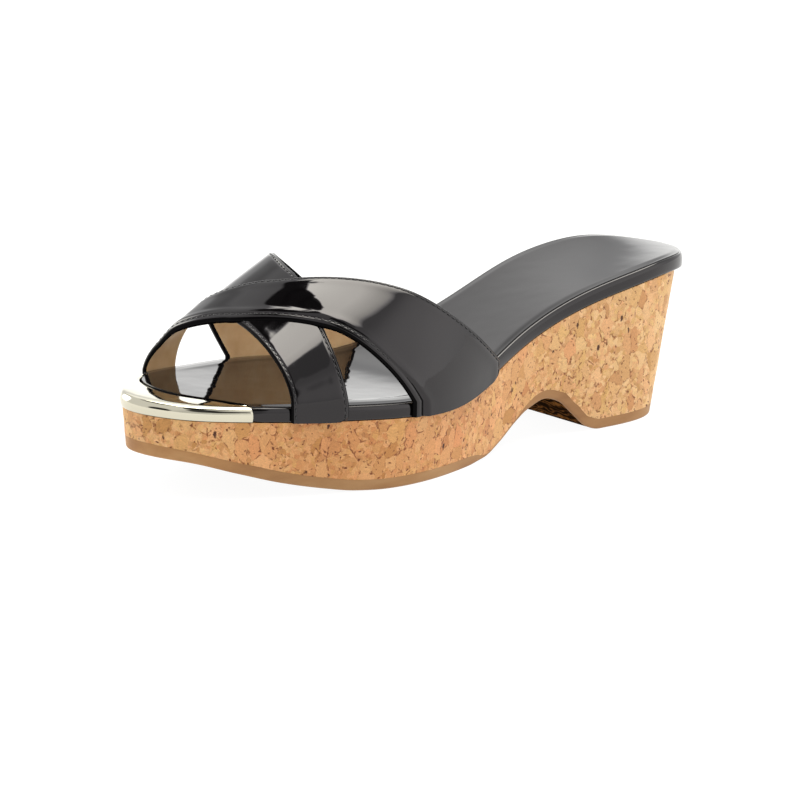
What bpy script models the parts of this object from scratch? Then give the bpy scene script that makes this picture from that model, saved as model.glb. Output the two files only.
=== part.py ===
"""Backless cork wedge sandal, left shoe, with two straps crossing over the forefoot.

Metres, +Z up, toe towards -Y, outer (lateral) side towards +X, standing on z = 0.
Places along the shoe are given as the distance from the back of the heel, and places
across it as the distance from the heel's middle line, positive on the lateral side.
"""
from collections import namedtuple

import bmesh
import bpy
import numpy as np

# --- driving dimensions ------------------------------------------------------------------
LENGTH = 0.248            # plan length of the platform
ORIGIN_ACROSS = 0.0036    # the frame's origin lies under the middle of the whole shoe
ORIGIN_FROM_HEEL = 0.1250
GAP = 0.0003              # air between two pieces that touch on the real shoe
OUTSOLE_EDGE = 0.0010     # rounding of the outsole's lower edge, where it is thick enough
SIDE_TAPER = 0.0028       # how far the wall's foot stands in from its top, at the sides
TOE_TAPER = 0.0012        # the same at the toe
TAPER_FADE_FROM = 0.200   # the side taper turns into the toe taper from here on
HEEL_RAKE = 0.0097        # how far the heel's back leans in towards the ground
HEEL_RAKE_LENGTH = 0.060
CORK_SETBACK = 0.0050     # the cork stops this far short of the footbed at the back
CORK_SETBACK_LENGTH = 0.040
SOCK_THICKNESS = 0.0010
SOCK_TOP = 0.0063         # top of the sock above the cork, at its edge
SOCK_INSET = 0.0008
PLATE_THICKNESS = 0.0008
PLATE_LATERAL_END = 0.2222
PLATE_MEDIAL_END = 0.2212
PLATE_POCKET = PLATE_THICKNESS + GAP
PLATE_POCKET_FADE = 0.0025
STRAP_WALL = 0.0020
STRAP_PROUD = 0.0027      # outer face of a strap's end, out from the cork's top edge
STRAP_BEND = 0.0061       # height above the cork where the straps start to lean inwards
STRAP_ACROSS_POWER = 2.3  # the instep's section is a superellipse
STRAP_UP_POWER = 1.95
RIDGE_SHIFT = 0.0056      # the instep's ridge lies towards the big toe side
RIDGE_SHIFT_PER_METRE = 0.062
CROSSING_LIFT = 0.0018    # the wide strap rides over the narrow one, fused 0.2 mm into it
CROSSING_STARTS = 45.0    # degrees round the instep
CROSSING_ENDS = 133.0
CROSSING_RAMP = 30.0

# --- tables, one row for each section ----------------------------------------------------
Plan = namedtuple("Plan", "from_heel lateral medial")
PLAN = (
    Plan(0.004, 0.0100, 0.0105),
    Plan(0.014, 0.0200, 0.0205),
    Plan(0.030, 0.0260, 0.0265),
    Plan(0.050, 0.0275, 0.0275),
    Plan(0.075, 0.0275, 0.0240),
    Plan(0.100, 0.0310, 0.0225),
    Plan(0.125, 0.0395, 0.0275),
    Plan(0.150, 0.0470, 0.0350),
    Plan(0.170, 0.0480, 0.0405),
    Plan(0.190, 0.0425, 0.0410),
    Plan(0.210, 0.0345, 0.0390),
    Plan(0.228, 0.0255, 0.0330),
    Plan(0.240, 0.0165, 0.0225),
)
TOE_TIP_ACROSS = -0.0115

Height = namedtuple("Height", "from_heel height")
SEAT = (                  # top of the cork, where the footbed lies
    Height(0.000, 0.0515), Height(0.020, 0.0540), Height(0.040, 0.0525),
    Height(0.060, 0.0490), Height(0.080, 0.0437), Height(0.100, 0.0370),
    Height(0.120, 0.0302), Height(0.140, 0.0260), Height(0.160, 0.0258),
    Height(0.180, 0.0268), Height(0.200, 0.0276), Height(0.220, 0.0287),
    Height(0.248, 0.0302),
)
TREAD = (                 # underside: flat heel, arch, flat ball, toe spring
    Height(0.000, 0.0000), Height(0.062, 0.0000), Height(0.068, 0.0070),
    Height(0.075, 0.0135), Height(0.082, 0.0155), Height(0.090, 0.0135),
    Height(0.098, 0.0100), Height(0.108, 0.0045), Height(0.118, 0.0010),
    Height(0.130, 0.0000), Height(0.172, 0.0000), Height(0.184, 0.0005),
    Height(0.195, 0.0021), Height(0.210, 0.0053), Height(0.225, 0.0097),
    Height(0.240, 0.0141), Height(0.248, 0.0151),
)
SHEET = (                 # thickness of the outsole, skived thin where it climbs into the arch
    Height(0.000, 0.0040), Height(0.056, 0.0039), Height(0.064, 0.0035),
    Height(0.087, 0.0033), Height(0.093, 0.0022), Height(0.098, 0.0010),
    Height(0.103, 0.0008), Height(0.115, 0.0008), Height(0.119, 0.0012),
    Height(0.125, 0.0032), Height(0.131, 0.0039), Height(0.172, 0.0041),
    Height(0.215, 0.0041), Height(0.233, 0.0038), Height(0.248, 0.0048),
)
DISH = (                  # how far the middle of the footbed lies below its rim
    Height(0.000, 0.0000), Height(0.030, 0.0015), Height(0.100, 0.0006),
    Height(0.165, 0.0009), Height(0.205, 0.0002), Height(0.225, 0.0000),
    Height(0.248, 0.0000),
)
RIDGE = (                 # ridge of the instep above the cork, to the straps' outer face
    Height(0.095, 0.0995), Height(0.125, 0.0825), Height(0.155, 0.0635),
    Height(0.185, 0.0445), Height(0.215, 0.0245),
)

Rim = namedtuple("Rim", "lift proud")
FOOTBED_SIDE = (          # padded band, from the cork up: height above it and reach past its edge
    Rim(0.0003, 0.0000), Rim(0.0011, 0.0003), Rim(0.0026, 0.0004),
    Rim(0.0040, 0.0001), Rim(0.0048, -0.0007), Rim(0.0050, -0.0016),
)
PLATE_SIDE = (
    Rim(0.0004, 0.0003), Rim(0.0026, 0.0004), Rim(0.0043, 0.0001),
    Rim(0.0055, -0.0009), Rim(0.0061, -0.0022),
)
PlateRear = namedtuple("PlateRear", "across from_heel")
PLATE_REAR = (            # rear edge of the plate's flange, from the lateral end round
    PlateRear(0.0256, 0.2226), PlateRear(0.0210, 0.2248), PlateRear(0.0150, 0.2273),
    PlateRear(0.0090, 0.2302), PlateRear(0.0010, 0.2336), PlateRear(-0.0080, 0.2350),
    PlateRear(-0.0165, 0.2342), PlateRear(-0.0250, 0.2310), PlateRear(-0.0328, 0.2214),
)

StrapEdge = namedtuple("StrapEdge", "angle front rear")
WIDE_STRAP = (            # degrees round the instep from the lateral side
    StrapEdge(0, 0.1650, 0.1145), StrapEdge(45, 0.1885, 0.1600),
    StrapEdge(90, 0.2080, 0.1900), StrapEdge(135, 0.2155, 0.1980),
    StrapEdge(180, 0.2195, 0.2010),
)
NARROW_STRAP = (
    StrapEdge(0, 0.2105, 0.1905), StrapEdge(45, 0.2095, 0.1905),
    StrapEdge(90, 0.2050, 0.1820), StrapEdge(135, 0.1940, 0.1620),
    StrapEdge(180, 0.1755, 0.1195),
)

# --- how fine the faces are --------------------------------------------------------------
STEPS_ALONG = 48          # even steps along the shoe
END_STEPS = 5             # of which the rounded ends take so many
END_ROWS = 7              # and are cut into so many rows
OUTLINE_SAMPLES = 2400
STRAP_STEPS = 36
STRAP_COLUMNS = 6


# --- curves ------------------------------------------------------------------------------
def natural_spline(knots, values):
    """A smooth drawing spline through the rows, as a function of the place."""
    x = np.asarray(knots, float)
    y = np.asarray(values, float)
    step = np.diff(x)
    system = np.eye(len(x))
    right = np.zeros(y.shape)
    for i in range(1, len(x) - 1):
        system[i, i - 1:i + 2] = step[i - 1], 2 * (step[i - 1] + step[i]), step[i]
        right[i] = 6 * ((y[i + 1] - y[i]) / step[i] - (y[i] - y[i - 1]) / step[i - 1])
    bend = np.linalg.solve(system, right)

    def value(place):
        place = np.asarray(place, float)
        i = np.clip(np.searchsorted(x, place) - 1, 0, len(x) - 2)
        shape = place.shape + (1,) * (y.ndim - 1)
        span = step[i].reshape(shape)
        b = ((place - x[i]) / step[i]).reshape(shape)
        a = 1 - b
        curve = (a ** 3 - a) * bend[i] + (b ** 3 - b) * bend[i + 1]
        return a * y[i] + b * y[i + 1] + curve * span ** 2 / 6

    return value


def steady_curve(knots, values):
    """A curve through the rows that never swings past them, so flats stay flat."""
    x = np.asarray(knots, float)
    y = np.asarray(values, float)
    step = np.diff(x)
    slope = np.diff(y) / step
    tangent = np.zeros(len(x))
    for i in range(1, len(x) - 1):
        if slope[i - 1] * slope[i] > 0:
            tangent[i] = 2 * slope[i - 1] * slope[i] / (slope[i - 1] + slope[i])
    tangent[-1] = slope[-1]

    def value(place):
        place = np.clip(place, x[0], x[-1])
        i = np.clip(np.searchsorted(x, place) - 1, 0, len(x) - 2)
        t = (place - x[i]) / step[i]
        rise = y[i + 1] - y[i]
        start = step[i] * tangent[i]
        end = step[i] * tangent[i + 1]
        square = 3 * rise - 2 * start - end
        cube = start + end - 2 * rise
        return y[i] + start * t + square * t ** 2 + cube * t ** 3

    return value


def table_spline(rows):
    return natural_spline([row.from_heel for row in rows], [row.height for row in rows])


def ease(share):
    """A soft step from 0 to 1."""
    share = np.clip(share, 0.0, 1.0)
    return share * share * (3 - 2 * share)


seat = table_spline(SEAT)
ridge = table_spline(RIDGE)
tread = steady_curve([row.from_heel for row in TREAD], [row.height for row in TREAD])
sheet_thickness = steady_curve([row.from_heel for row in SHEET], [row.height for row in SHEET])
dish = steady_curve([row.from_heel for row in DISH], [row.height for row in DISH])


def plan_outline():
    """The closed plan of the cork's top edge, cut into a lateral and a medial side."""
    points = [(0.0, 0.0)]
    points += [(row.lateral, row.from_heel) for row in PLAN]
    points += [(TOE_TIP_ACROSS, LENGTH)]
    points += [(-row.medial, row.from_heel) for row in reversed(PLAN)]
    wrap = 3
    around = points[-wrap:] + points + points[:wrap + 1]
    around = np.array(around)
    length = np.append(0, np.cumsum(np.hypot(*np.diff(around, axis=0).T)))
    outline = natural_spline(length, around)
    start = length[wrap]
    end = length[wrap + len(points)]
    samples = outline(np.linspace(start, end, OUTLINE_SAMPLES + 1))[:-1]
    samples = np.roll(samples, -int(np.argmin(samples[:, 1])), axis=0)
    toe = int(np.argmax(samples[:, 1]))
    lateral = samples[:toe + 1]
    medial = np.vstack([samples[toe:], samples[:1]])[::-1]
    return {"lateral": lateral, "medial": medial}


def outline_side(points, outward):
    """Place across and outward normal of one side, each against the distance from the heel."""
    tangent = np.gradient(points, axis=0)
    tangent /= np.linalg.norm(tangent, axis=1)[:, None]
    normal = np.stack([tangent[:, 1], -tangent[:, 0]], axis=1) * outward
    normal[0] = 0.0, -1.0
    normal[-1] = 0.0, 1.0
    return {"from_heel": points[:, 1], "across": points[:, 0], "normal": normal}


OUTLINE = plan_outline()
SIDES = {
    "lateral": outline_side(OUTLINE["lateral"], 1),
    "medial": outline_side(OUTLINE["medial"], -1),
}
HEEL_TIP = SIDES["lateral"]["from_heel"][0]
TOE_TIP = SIDES["lateral"]["from_heel"][-1]


def side_point(side, place, inset=0.0):
    """Place across and along of the outline at a distance from the heel, moved in by an inset."""
    edge = SIDES[side]
    across = np.interp(place, edge["from_heel"], edge["across"])
    normal_across = np.interp(place, edge["from_heel"], edge["normal"][:, 0])
    normal_along = np.interp(place, edge["from_heel"], edge["normal"][:, 1])
    size = np.hypot(normal_across, normal_along)
    return across - inset * normal_across / size, place - inset * normal_along / size


def stations():
    """Rows along the shoe, set closer where the plan rounds off at heel and toe."""
    step = (TOE_TIP - HEEL_TIP) / STEPS_ALONG
    end_length = step * END_STEPS
    turn = np.linspace(0, np.pi / 2, END_ROWS + 1)
    heel = HEEL_TIP + end_length * (1 - np.cos(turn))
    toe = (TOE_TIP - end_length * (1 - np.cos(turn)))[::-1]
    middle = HEEL_TIP + step * np.arange(END_STEPS + 1, STEPS_ALONG - END_STEPS)
    return np.concatenate([heel, middle, toe])


ROWS = stations()


# --- levels: heights as functions of the place along the shoe ----------------------------
def outsole_top(place):
    """The tread moved up by the outsole's thickness, measured square to the slope."""
    reach = 0.0005
    slope = (tread(place + reach) - tread(place - reach)) / (2 * reach)
    return tread(place) + sheet_thickness(place) * np.sqrt(1 + slope ** 2)


def outsole_edge(place):
    return np.minimum(OUTSOLE_EDGE, sheet_thickness(place) / 2)


def wedge_bottom(place):
    return outsole_top(place) + GAP


def wall_point(side, place, level, inset=0.0):
    """Point of the leaning outer wall, between sole and cork top, at a level."""
    toe_share = np.clip((place - TAPER_FADE_FROM) / (LENGTH - TAPER_FADE_FROM), 0, 1)
    taper = SIDE_TAPER * (1 - toe_share) + TOE_TAPER * toe_share
    top_across, top_along = side_point(side, place, inset)
    foot_across, foot_along = side_point(side, place, inset + taper)
    setback = CORK_SETBACK * np.clip(1 - place / CORK_SETBACK_LENGTH, 0, 1) ** 2
    top_along = top_along + setback
    foot_along = foot_along + setback + HEEL_RAKE * np.clip(1 - place / HEEL_RAKE_LENGTH, 0, 1)
    foot_height = tread(foot_along)
    wall_height = seat(top_along) - foot_height
    share = 0.5
    for _ in range(8):
        along = foot_along + (top_along - foot_along) * share
        share = (level(along) - foot_height) / wall_height
    across = foot_across + (top_across - foot_across) * share
    return np.stack([across, along, level(along)], axis=-1)


def rim_point(side, place, lift, proud, pocket=False):
    """Point of the footbed's side, at a height above the cork and a reach past its edge."""
    if pocket:
        end = PLATE_LATERAL_END if side == "lateral" else PLATE_MEDIAL_END
        proud = proud - PLATE_POCKET * ease((place - end) / PLATE_POCKET_FADE + 1)
    across, along = side_point(side, place, -proud)
    height = seat(np.clip(along, 0, LENGTH)) + lift
    return np.stack([across, along, height], axis=-1)


# --- building solids ---------------------------------------------------------------------
def world(point):
    """From place across, along from the heel, and height, to the shoe's frame."""
    across, along, height = point
    return across - ORIGIN_ACROSS, ORIGIN_FROM_HEEL - along, height


def new_object(name, mesh_data, collection, material):
    mesh = bpy.data.meshes.new(name)
    mesh_data.to_mesh(mesh)
    mesh_data.free()
    obj = bpy.data.objects.new(name, mesh)
    collection.objects.link(obj)
    if material is not None:
        mesh.materials.append(material)
    mesh.shade_smooth()
    mesh.set_sharp_from_angle(angle=np.radians(35))
    return obj


def grid_between(lateral, medial, columns, crown=None):
    """Rows of points from the lateral to the medial edge; crown lowers the middle."""
    share = np.linspace(0, 1, columns + 1)[None, :, None]
    grid = lateral[:, None] * (1 - share) + medial[:, None] * share
    if crown is not None:
        bowl = 1 - (2 * share[..., 0] - 1) ** 2
        grid[..., 2] -= crown(grid[..., 1]) * bowl
    return grid


def add_grid(mesh_data, grid):
    """Faces between the rows and columns of a grid; doubled points are merged later."""
    verts = [[mesh_data.verts.new(world(point)) for point in row] for row in grid]
    for row, after in zip(verts, verts[1:]):
        for a, b, c, d in zip(row, row[1:], after[1:], after):
            mesh_data.faces.new((a, b, c, d))


def close_up(mesh_data):
    bmesh.ops.remove_doubles(mesh_data, verts=mesh_data.verts, dist=1e-6)
    bmesh.ops.dissolve_degenerate(mesh_data, edges=mesh_data.edges, dist=1e-7)
    bmesh.ops.recalc_face_normals(mesh_data, faces=mesh_data.faces)


def ring_solid(name, rings, columns, collection, material, crown=None):
    """A solid between stacked rings: each ring is its lateral and medial edge."""
    data = bmesh.new()
    low_columns, high_columns = columns
    add_grid(data, grid_between(*rings[0], low_columns))
    add_grid(data, grid_between(*rings[-1], high_columns, crown))
    for edge in (0, 1):
        add_grid(data, np.stack([ring[edge] for ring in rings]))
    close_up(data)
    return new_object(name, data, collection, material)


def sheet(name, grid, collection, material, thickness):
    """A sheet of even thickness whose outer face is the grid."""
    data = bmesh.new()
    add_grid(data, grid)
    bmesh.ops.remove_doubles(data, verts=data.verts, dist=1e-6)
    obj = new_object(name, data, collection, material)
    wall = obj.modifiers.new("wall", "SOLIDIFY")
    wall.thickness = thickness
    wall.offset = -1.0
    wall.use_even_offset = True
    return obj


# --- the pieces --------------------------------------------------------------------------
def outsole(collection, material):
    """Rubber sheet under heel, arch, ball and toe."""
    def above_edge(place):
        return tread(place) + outsole_edge(place)

    rings = []
    for level, inset in ((tread, outsole_edge(ROWS)), (above_edge, 0.0), (outsole_top, 0.0)):
        rings.append([wall_point(side, ROWS, level, inset) for side in ("lateral", "medial")])
    return ring_solid("outsole", rings, (2, 2), collection, material)


def wedge(collection, material):
    """Cork heel, arch and platform in one block."""
    rings = []
    for level in (wedge_bottom, seat):
        rings.append([wall_point(side, ROWS, level) for side in ("lateral", "medial")])
    return ring_solid("wedge", rings, (2, 2), collection, material)


def footbed(collection, material):
    """Padded board wrapped in leather, cupped a little, with a pocket for the toe plate."""
    rings = []
    for row in FOOTBED_SIDE:
        sides = ("lateral", "medial")
        rings.append([rim_point(side, ROWS, row.lift, row.proud, pocket=True) for side in sides])
    return ring_solid("footbed", rings, (2, 6), collection, material, crown=dish)


def plate_rear_edge():
    """Rear edge of the toe plate's flange, as a function of the share of its length."""
    points = np.array(PLATE_REAR)
    length = np.append(0, np.cumsum(np.hypot(*np.diff(points, axis=0).T)))
    return natural_spline(length / length[-1], points)


def sock(collection, material):
    """Thin cover on the footbed, ending in a shallow curve behind the toe plate."""
    last_full_row = 0.205
    columns = 10
    extra_rows = 4
    front_gap = 0.0006
    corner_gap = 0.0029
    ends = {"lateral": PLATE_LATERAL_END - corner_gap, "medial": PLATE_MEDIAL_END - corner_gap}
    places = ROWS[ROWS < last_full_row]
    sides = [rim_point(side, places, SOCK_TOP, -SOCK_INSET) for side in ends]
    grid = grid_between(*sides, columns)

    rear_edge = plate_rear_edge()
    share = np.linspace(0, 1, columns - 1)
    tangent = rear_edge(share + 0.01) - rear_edge(share - 0.01)
    tangent /= np.linalg.norm(tangent, axis=1)[:, None]
    front = np.zeros((columns + 1, 3))
    front[1:-1, :2] = rear_edge(share) + front_gap * np.stack([-tangent[:, 1], tangent[:, 0]], axis=1)
    rows = list(grid)
    for step in range(1, extra_rows + 1):
        way = step / extra_rows
        row = grid[-1] * (1 - way) + front * way
        for edge, side in ((0, "lateral"), (-1, "medial")):
            place = places[-1] * (1 - way) + ends[side] * way
            row[edge] = rim_point(side, place, SOCK_TOP, -SOCK_INSET)
        rows.append(row)
    grid = np.stack(rows)
    share = np.linspace(0, 1, columns + 1)
    bowl = 1 - (2 * share - 1) ** 2
    grid[..., 2] = seat(np.clip(grid[..., 1], 0, LENGTH)) + SOCK_TOP - dish(grid[..., 1]) * bowl
    return sheet("sock", grid, collection, material, SOCK_THICKNESS)


def toe_plate(collection, material):
    """Bent metal trim: a band round the toe and a crescent flange on top of it."""
    rows_each_side = 12
    flange_columns = 3
    rear_edge = plate_rear_edge()
    turn = np.sin(np.linspace(0, np.pi / 2, rows_each_side + 1))
    lateral = PLATE_LATERAL_END + (TOE_TIP - PLATE_LATERAL_END) * turn
    medial = (PLATE_MEDIAL_END + (TOE_TIP - PLATE_MEDIAL_END) * turn)[::-1][1:]
    profile = []
    for row in PLATE_SIDE:
        parts = [rim_point("lateral", lateral, row.lift, row.proud)]
        parts.append(rim_point("medial", medial, row.lift, row.proud))
        profile.append(np.vstack(parts))
    shoulder = profile[-1]
    length = np.append(0, np.cumsum(np.linalg.norm(np.diff(shoulder, axis=0), axis=1)))
    inner = np.zeros_like(shoulder)
    inner[:, :2] = rear_edge(length / length[-1])
    for column in range(1, flange_columns + 1):
        share = column / flange_columns
        points = shoulder * (1 - share) + inner * share
        points[:, 2] = seat(points[:, 1]) + PLATE_SIDE[-1].lift
        profile.append(points)
    grid = np.stack(profile, axis=1)
    return sheet("toe_plate", grid[::-1], collection, material, PLATE_THICKNESS)


def instep_point(place, angle, lift):
    """Outer face of a strap: a superellipse over the foot, lifted off it where asked."""
    reach = 0.001
    ends = []
    for side in ("lateral", "medial"):
        across = side_point(side, place)[0]
        slope = (side_point(side, place + reach)[0] - side_point(side, place - reach)[0]) / (2 * reach)
        out = STRAP_PROUD * np.sqrt(1 + slope ** 2)
        ends.append(across + out * (1 if side == "lateral" else -1))
    middle = (ends[0] + ends[1]) / 2
    half_width = (ends[0] - ends[1]) / 2 + lift
    cosine = np.cos(angle)
    sine = np.sin(angle)
    across_share = np.sign(cosine) * np.abs(cosine) ** (2 / STRAP_ACROSS_POWER)
    up_share = np.abs(sine) ** (2 / STRAP_UP_POWER)
    ridge_shift = -RIDGE_SHIFT + RIDGE_SHIFT_PER_METRE * (place - 0.155)
    across = middle + half_width * across_share + ridge_shift * up_share ** 1.5
    height = seat(place) + STRAP_BEND + (ridge(place) - STRAP_BEND + lift) * up_share
    return np.stack([across, place, height], axis=-1)


def strap_surface(table, crossing_lift):
    """Grid of a strap's outer face, from its lateral end over the instep to its medial end."""
    degrees = np.array([row.angle for row in table])
    front = natural_spline(degrees, [row.front for row in table])
    rear = natural_spline(degrees, [row.rear for row in table])
    angle = np.linspace(0, 180, STRAP_STEPS + 1)
    share = np.linspace(0, 1, STRAP_COLUMNS + 1)
    place = front(angle)[:, None] * (1 - share) + rear(angle)[:, None] * share
    rise = ease((angle - CROSSING_STARTS) / CROSSING_RAMP + 1)
    fall = ease((CROSSING_ENDS - angle) / CROSSING_RAMP + 1)
    lift = (crossing_lift * rise * fall)[:, None]
    arch = instep_point(place, np.radians(angle)[:, None], lift)
    legs = []
    for end in (arch[0], arch[-1]):
        for height in (GAP, STRAP_BEND / 2):
            leg = end.copy()
            leg[:, 2] = seat(leg[:, 1]) + height
            legs.append(leg)
    return np.concatenate([legs[0][None], legs[1][None], arch, legs[3][None], legs[2][None]])


def upper(collection, guides, material):
    """Two straps in one hollow piece: the wide one lies on the narrow one and is fused to it."""
    narrow = sheet("narrow_strap", strap_surface(NARROW_STRAP, 0.0), guides, None, STRAP_WALL)
    narrow.hide_render = True
    narrow.display_type = "WIRE"
    wide = sheet("upper", strap_surface(WIDE_STRAP, CROSSING_LIFT), collection, material, STRAP_WALL)
    join = wide.modifiers.new("crossing", "BOOLEAN")
    join.operation = "UNION"
    join.object = narrow
    return wide


# --- materials and scene -----------------------------------------------------------------
def new_material(name, colour, roughness, metallic=0.0):
    finish = bpy.data.materials.new(name)
    finish.use_nodes = True
    shader = finish.node_tree.nodes["Principled BSDF"]
    shader.inputs["Base Color"].default_value = (*colour, 1.0)
    shader.inputs["Roughness"].default_value = roughness
    shader.inputs["Metallic"].default_value = metallic
    return finish


def new_collection(name):
    collection = bpy.data.collections.new(name)
    bpy.context.scene.collection.children.link(collection)
    return collection


def main():
    for obj in list(bpy.data.objects):
        bpy.data.objects.remove(obj, do_unlink=True)
    shoe = new_collection("wedge_sandal")
    guides = new_collection("guides")
    rubber = new_material("sole_rubber", (0.45, 0.28, 0.14), 0.6)
    cork = new_material("cork", (0.60, 0.32, 0.13), 0.8)
    patent = new_material("patent_leather", (0.008, 0.008, 0.009), 0.08)
    gold = new_material("gold_plate", (0.85, 0.78, 0.62), 0.12, 1.0)
    outsole(shoe, rubber)
    wedge(shoe, cork)
    footbed(shoe, patent)
    sock(shoe, patent)
    toe_plate(shoe, gold)
    upper(shoe, guides, patent)


main()
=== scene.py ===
# %% [markdown]
# # A cork wedge slide sandal, dressed for the studio
#
# This lesson takes the plain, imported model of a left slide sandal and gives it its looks:
# a cork wedge, a thin rubber outsole, a padded footbed in patent leather, two patent straps
# that cross over the forefoot, and a pale gilt plate round the toe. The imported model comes
# in first, as a fixed frame. It is never moved, so each new piece goes where it says.

import math
from types import SimpleNamespace

import bpy
import numpy as np
from mathutils import Matrix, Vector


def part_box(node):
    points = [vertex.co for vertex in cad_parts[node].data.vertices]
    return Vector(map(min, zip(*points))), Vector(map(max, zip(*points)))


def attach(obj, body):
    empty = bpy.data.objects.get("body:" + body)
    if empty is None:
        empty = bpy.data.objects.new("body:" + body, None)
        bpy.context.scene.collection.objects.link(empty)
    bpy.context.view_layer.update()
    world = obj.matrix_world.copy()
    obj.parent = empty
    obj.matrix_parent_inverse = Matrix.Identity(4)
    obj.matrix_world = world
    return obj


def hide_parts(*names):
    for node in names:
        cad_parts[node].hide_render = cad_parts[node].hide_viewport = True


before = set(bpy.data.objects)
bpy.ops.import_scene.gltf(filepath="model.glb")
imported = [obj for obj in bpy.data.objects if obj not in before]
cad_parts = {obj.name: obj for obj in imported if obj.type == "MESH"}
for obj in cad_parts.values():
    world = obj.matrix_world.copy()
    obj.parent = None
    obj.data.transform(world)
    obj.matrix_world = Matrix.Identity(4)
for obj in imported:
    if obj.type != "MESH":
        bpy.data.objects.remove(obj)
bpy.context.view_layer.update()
print("frame nodes:", sorted(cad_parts))

# %% [markdown]
# ## The camera
#
# Shoes are shown with a long lens from a few steps away, so that heel and toe keep their
# true proportions. A camera is easiest to place by what it looks at: an azimuth round the
# shoe, an elevation above the floor, a slight roll, and a distance from the target.

# %% The camera on its stand
CAMERA_AZIMUTH = math.radians(50.489)
CAMERA_ELEVATION = math.radians(14.076)
CAMERA_ROLL = math.radians(0.490)
CAMERA_DISTANCE = 3.3235
CAMERA_LENS = 409.465     # mm
SENSOR_WIDTH = 36.0       # mm
FARTHEST_SEEN = 20.0
TARGET_RIGHT = -0.004619  # the target, from a point on the floor near the shoe's middle
TARGET_UP = 0.016094
TARGET_BASE = np.array([-0.0036, 0.0010, 0.0])


def place_camera():
    """Stand the camera round the target and make it the scene's camera."""
    level_share = math.cos(CAMERA_ELEVATION)
    back = np.array([math.sin(CAMERA_AZIMUTH) * level_share,
                     -math.cos(CAMERA_AZIMUTH) * level_share,
                     math.sin(CAMERA_ELEVATION)])
    level = np.array([math.cos(CAMERA_AZIMUTH), math.sin(CAMERA_AZIMUTH), 0.0])
    upright = np.cross(back, level)
    right = math.cos(CAMERA_ROLL) * level + math.sin(CAMERA_ROLL) * upright
    up = math.cos(CAMERA_ROLL) * upright - math.sin(CAMERA_ROLL) * level
    eye = TARGET_BASE + right * TARGET_RIGHT + up * TARGET_UP + back * CAMERA_DISTANCE
    bpy.ops.object.camera_add()
    camera = bpy.context.object
    camera.name = "studio_camera"
    stance = np.eye(4)
    stance[:3] = np.stack([right, up, back, eye], axis=1)
    camera.matrix_world = Matrix(stance.tolist())
    camera.data.lens = CAMERA_LENS
    camera.data.sensor_width = SENSOR_WIDTH
    camera.data.clip_end = FARTHEST_SEEN
    bpy.context.scene.camera = camera
    return camera


camera = place_camera()
print("camera stands at", [round(value, 3) for value in camera.location])

# %% [markdown]
# ## A small white studio
#
# Patent leather is a black mirror, so what it shows is the room: pale walls with a few
# brighter glows, a softbox overhead in three panels, whose light falls off to the right,
# and dark cloths that give the straps their black patches. Lamps and cards could stand
# round the shoe, but a mirror only asks how bright each direction is, so the room is
# painted into the world by direction. The standard view keeps colours as they are mixed.

# %% The room's tables
FLOOR_SIZE = 8.0
TABLE_RADIANCE = 0.95
WALL_RADIANCE = 0.9
GLOWS = (                 # azimuth, elevation, radius, soft edge in degrees; light added
    (125, 12, 22, 22, 0.75), (152, 0, 18, 18, 0.1), (-82, 14, 12, 9, 6.5),
    (-132, 0, 13, 5.5, 0.8), (-104, 58, 8, 2.5, 5.0), (-118, 32, 10, 6, 0.5), (85, 20, 15, 12, 0.3),
)
CLOTHS = (                # azimuth, elevation, radius, soft edge in degrees; light left over
    (-84, 54.3, 6.5, 1, 0.02), (-68, 60, 8, 1, 0.02), (-45, 65.5, 8, 1, 0.02),
    (52, 57, 16, 2, 0.6), (37, 53, 11, 1.5, 0.04), (42, 6, 26, 9, 0.8),
    (-3, 8, 14, 3, 0.05), (48, 33, 15, 4, 0.08), (66, 27, 11, 4, 0.08),
    (-101, 27, 7, 5, 0.6),
)
SOFTBOX_PANELS = (        # across, then along: edges as tangents from straight up, each
    ((-0.36, 0.02, 0.60, 0.14), (-0.08, 0.02, 0.95, 0.10)),       # followed by its softness
    ((-0.36, 0.02, 0.24, 0.03), (-0.24, 0.02, 0.08, 0.02)),
    ((-0.60, 0.02, -0.30, 0.02), (-0.10, 0.03, 0.14, 0.05)),
)
SOFTBOX_RADIANCE = 9.2
SOFTBOX_FALLOFF = (0.08, 0.55, 0.46)          # starts, ends, and the share that is left
LEAST_RISE = 0.02         # a flatter ray than this counts as rising so much
ROOM_TINTS = ((0.1, "#FFFFFF"), (0.6, "#FFFEF4"))           # from the walls to the softbox
print("the room has", len(GLOWS), "glows and", len(CLOTHS), "cloths")

# %% Colours, nodes and materials
def hex_colour(code):
    """A #RRGGBB colour, as painted on screen, turned into Blender's linear colour."""
    shares = [int(code[i:i + 2], 16) / 255 for i in (1, 3, 5)]
    linear = [s / 12.92 if s <= 0.04045 else ((s + 0.055) / 1.055) ** 2.4 for s in shares]
    return (*linear, 1.0)


def fill_inputs(node, inputs):
    """Plug in each input that is another node's output, and set any other."""
    for key, value in inputs.items():
        if isinstance(value, bpy.types.NodeSocket):
            node.id_data.links.new(value, node.inputs[key])
        else:
            node.inputs[key].default_value = value


def add_node(tree, kind, inputs=(), stops=(), **options):
    """Add one node and return its outputs.

    Its inputs are given in order, or by name or number. A colour ramp also gets its stops,
    as places and hex colours.
    """
    node = tree.nodes.new("ShaderNode" + kind)
    for name, value in options.items():
        setattr(node, name, value)
    fill_inputs(node, inputs if isinstance(inputs, dict) else dict(enumerate(inputs)))
    for i, (place, code) in enumerate(stops):
        elements = node.color_ramp.elements
        element = elements[i] if i < 2 else elements.new(place)
        element.position, element.color = place, hex_colour(code)
    return node.outputs


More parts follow.
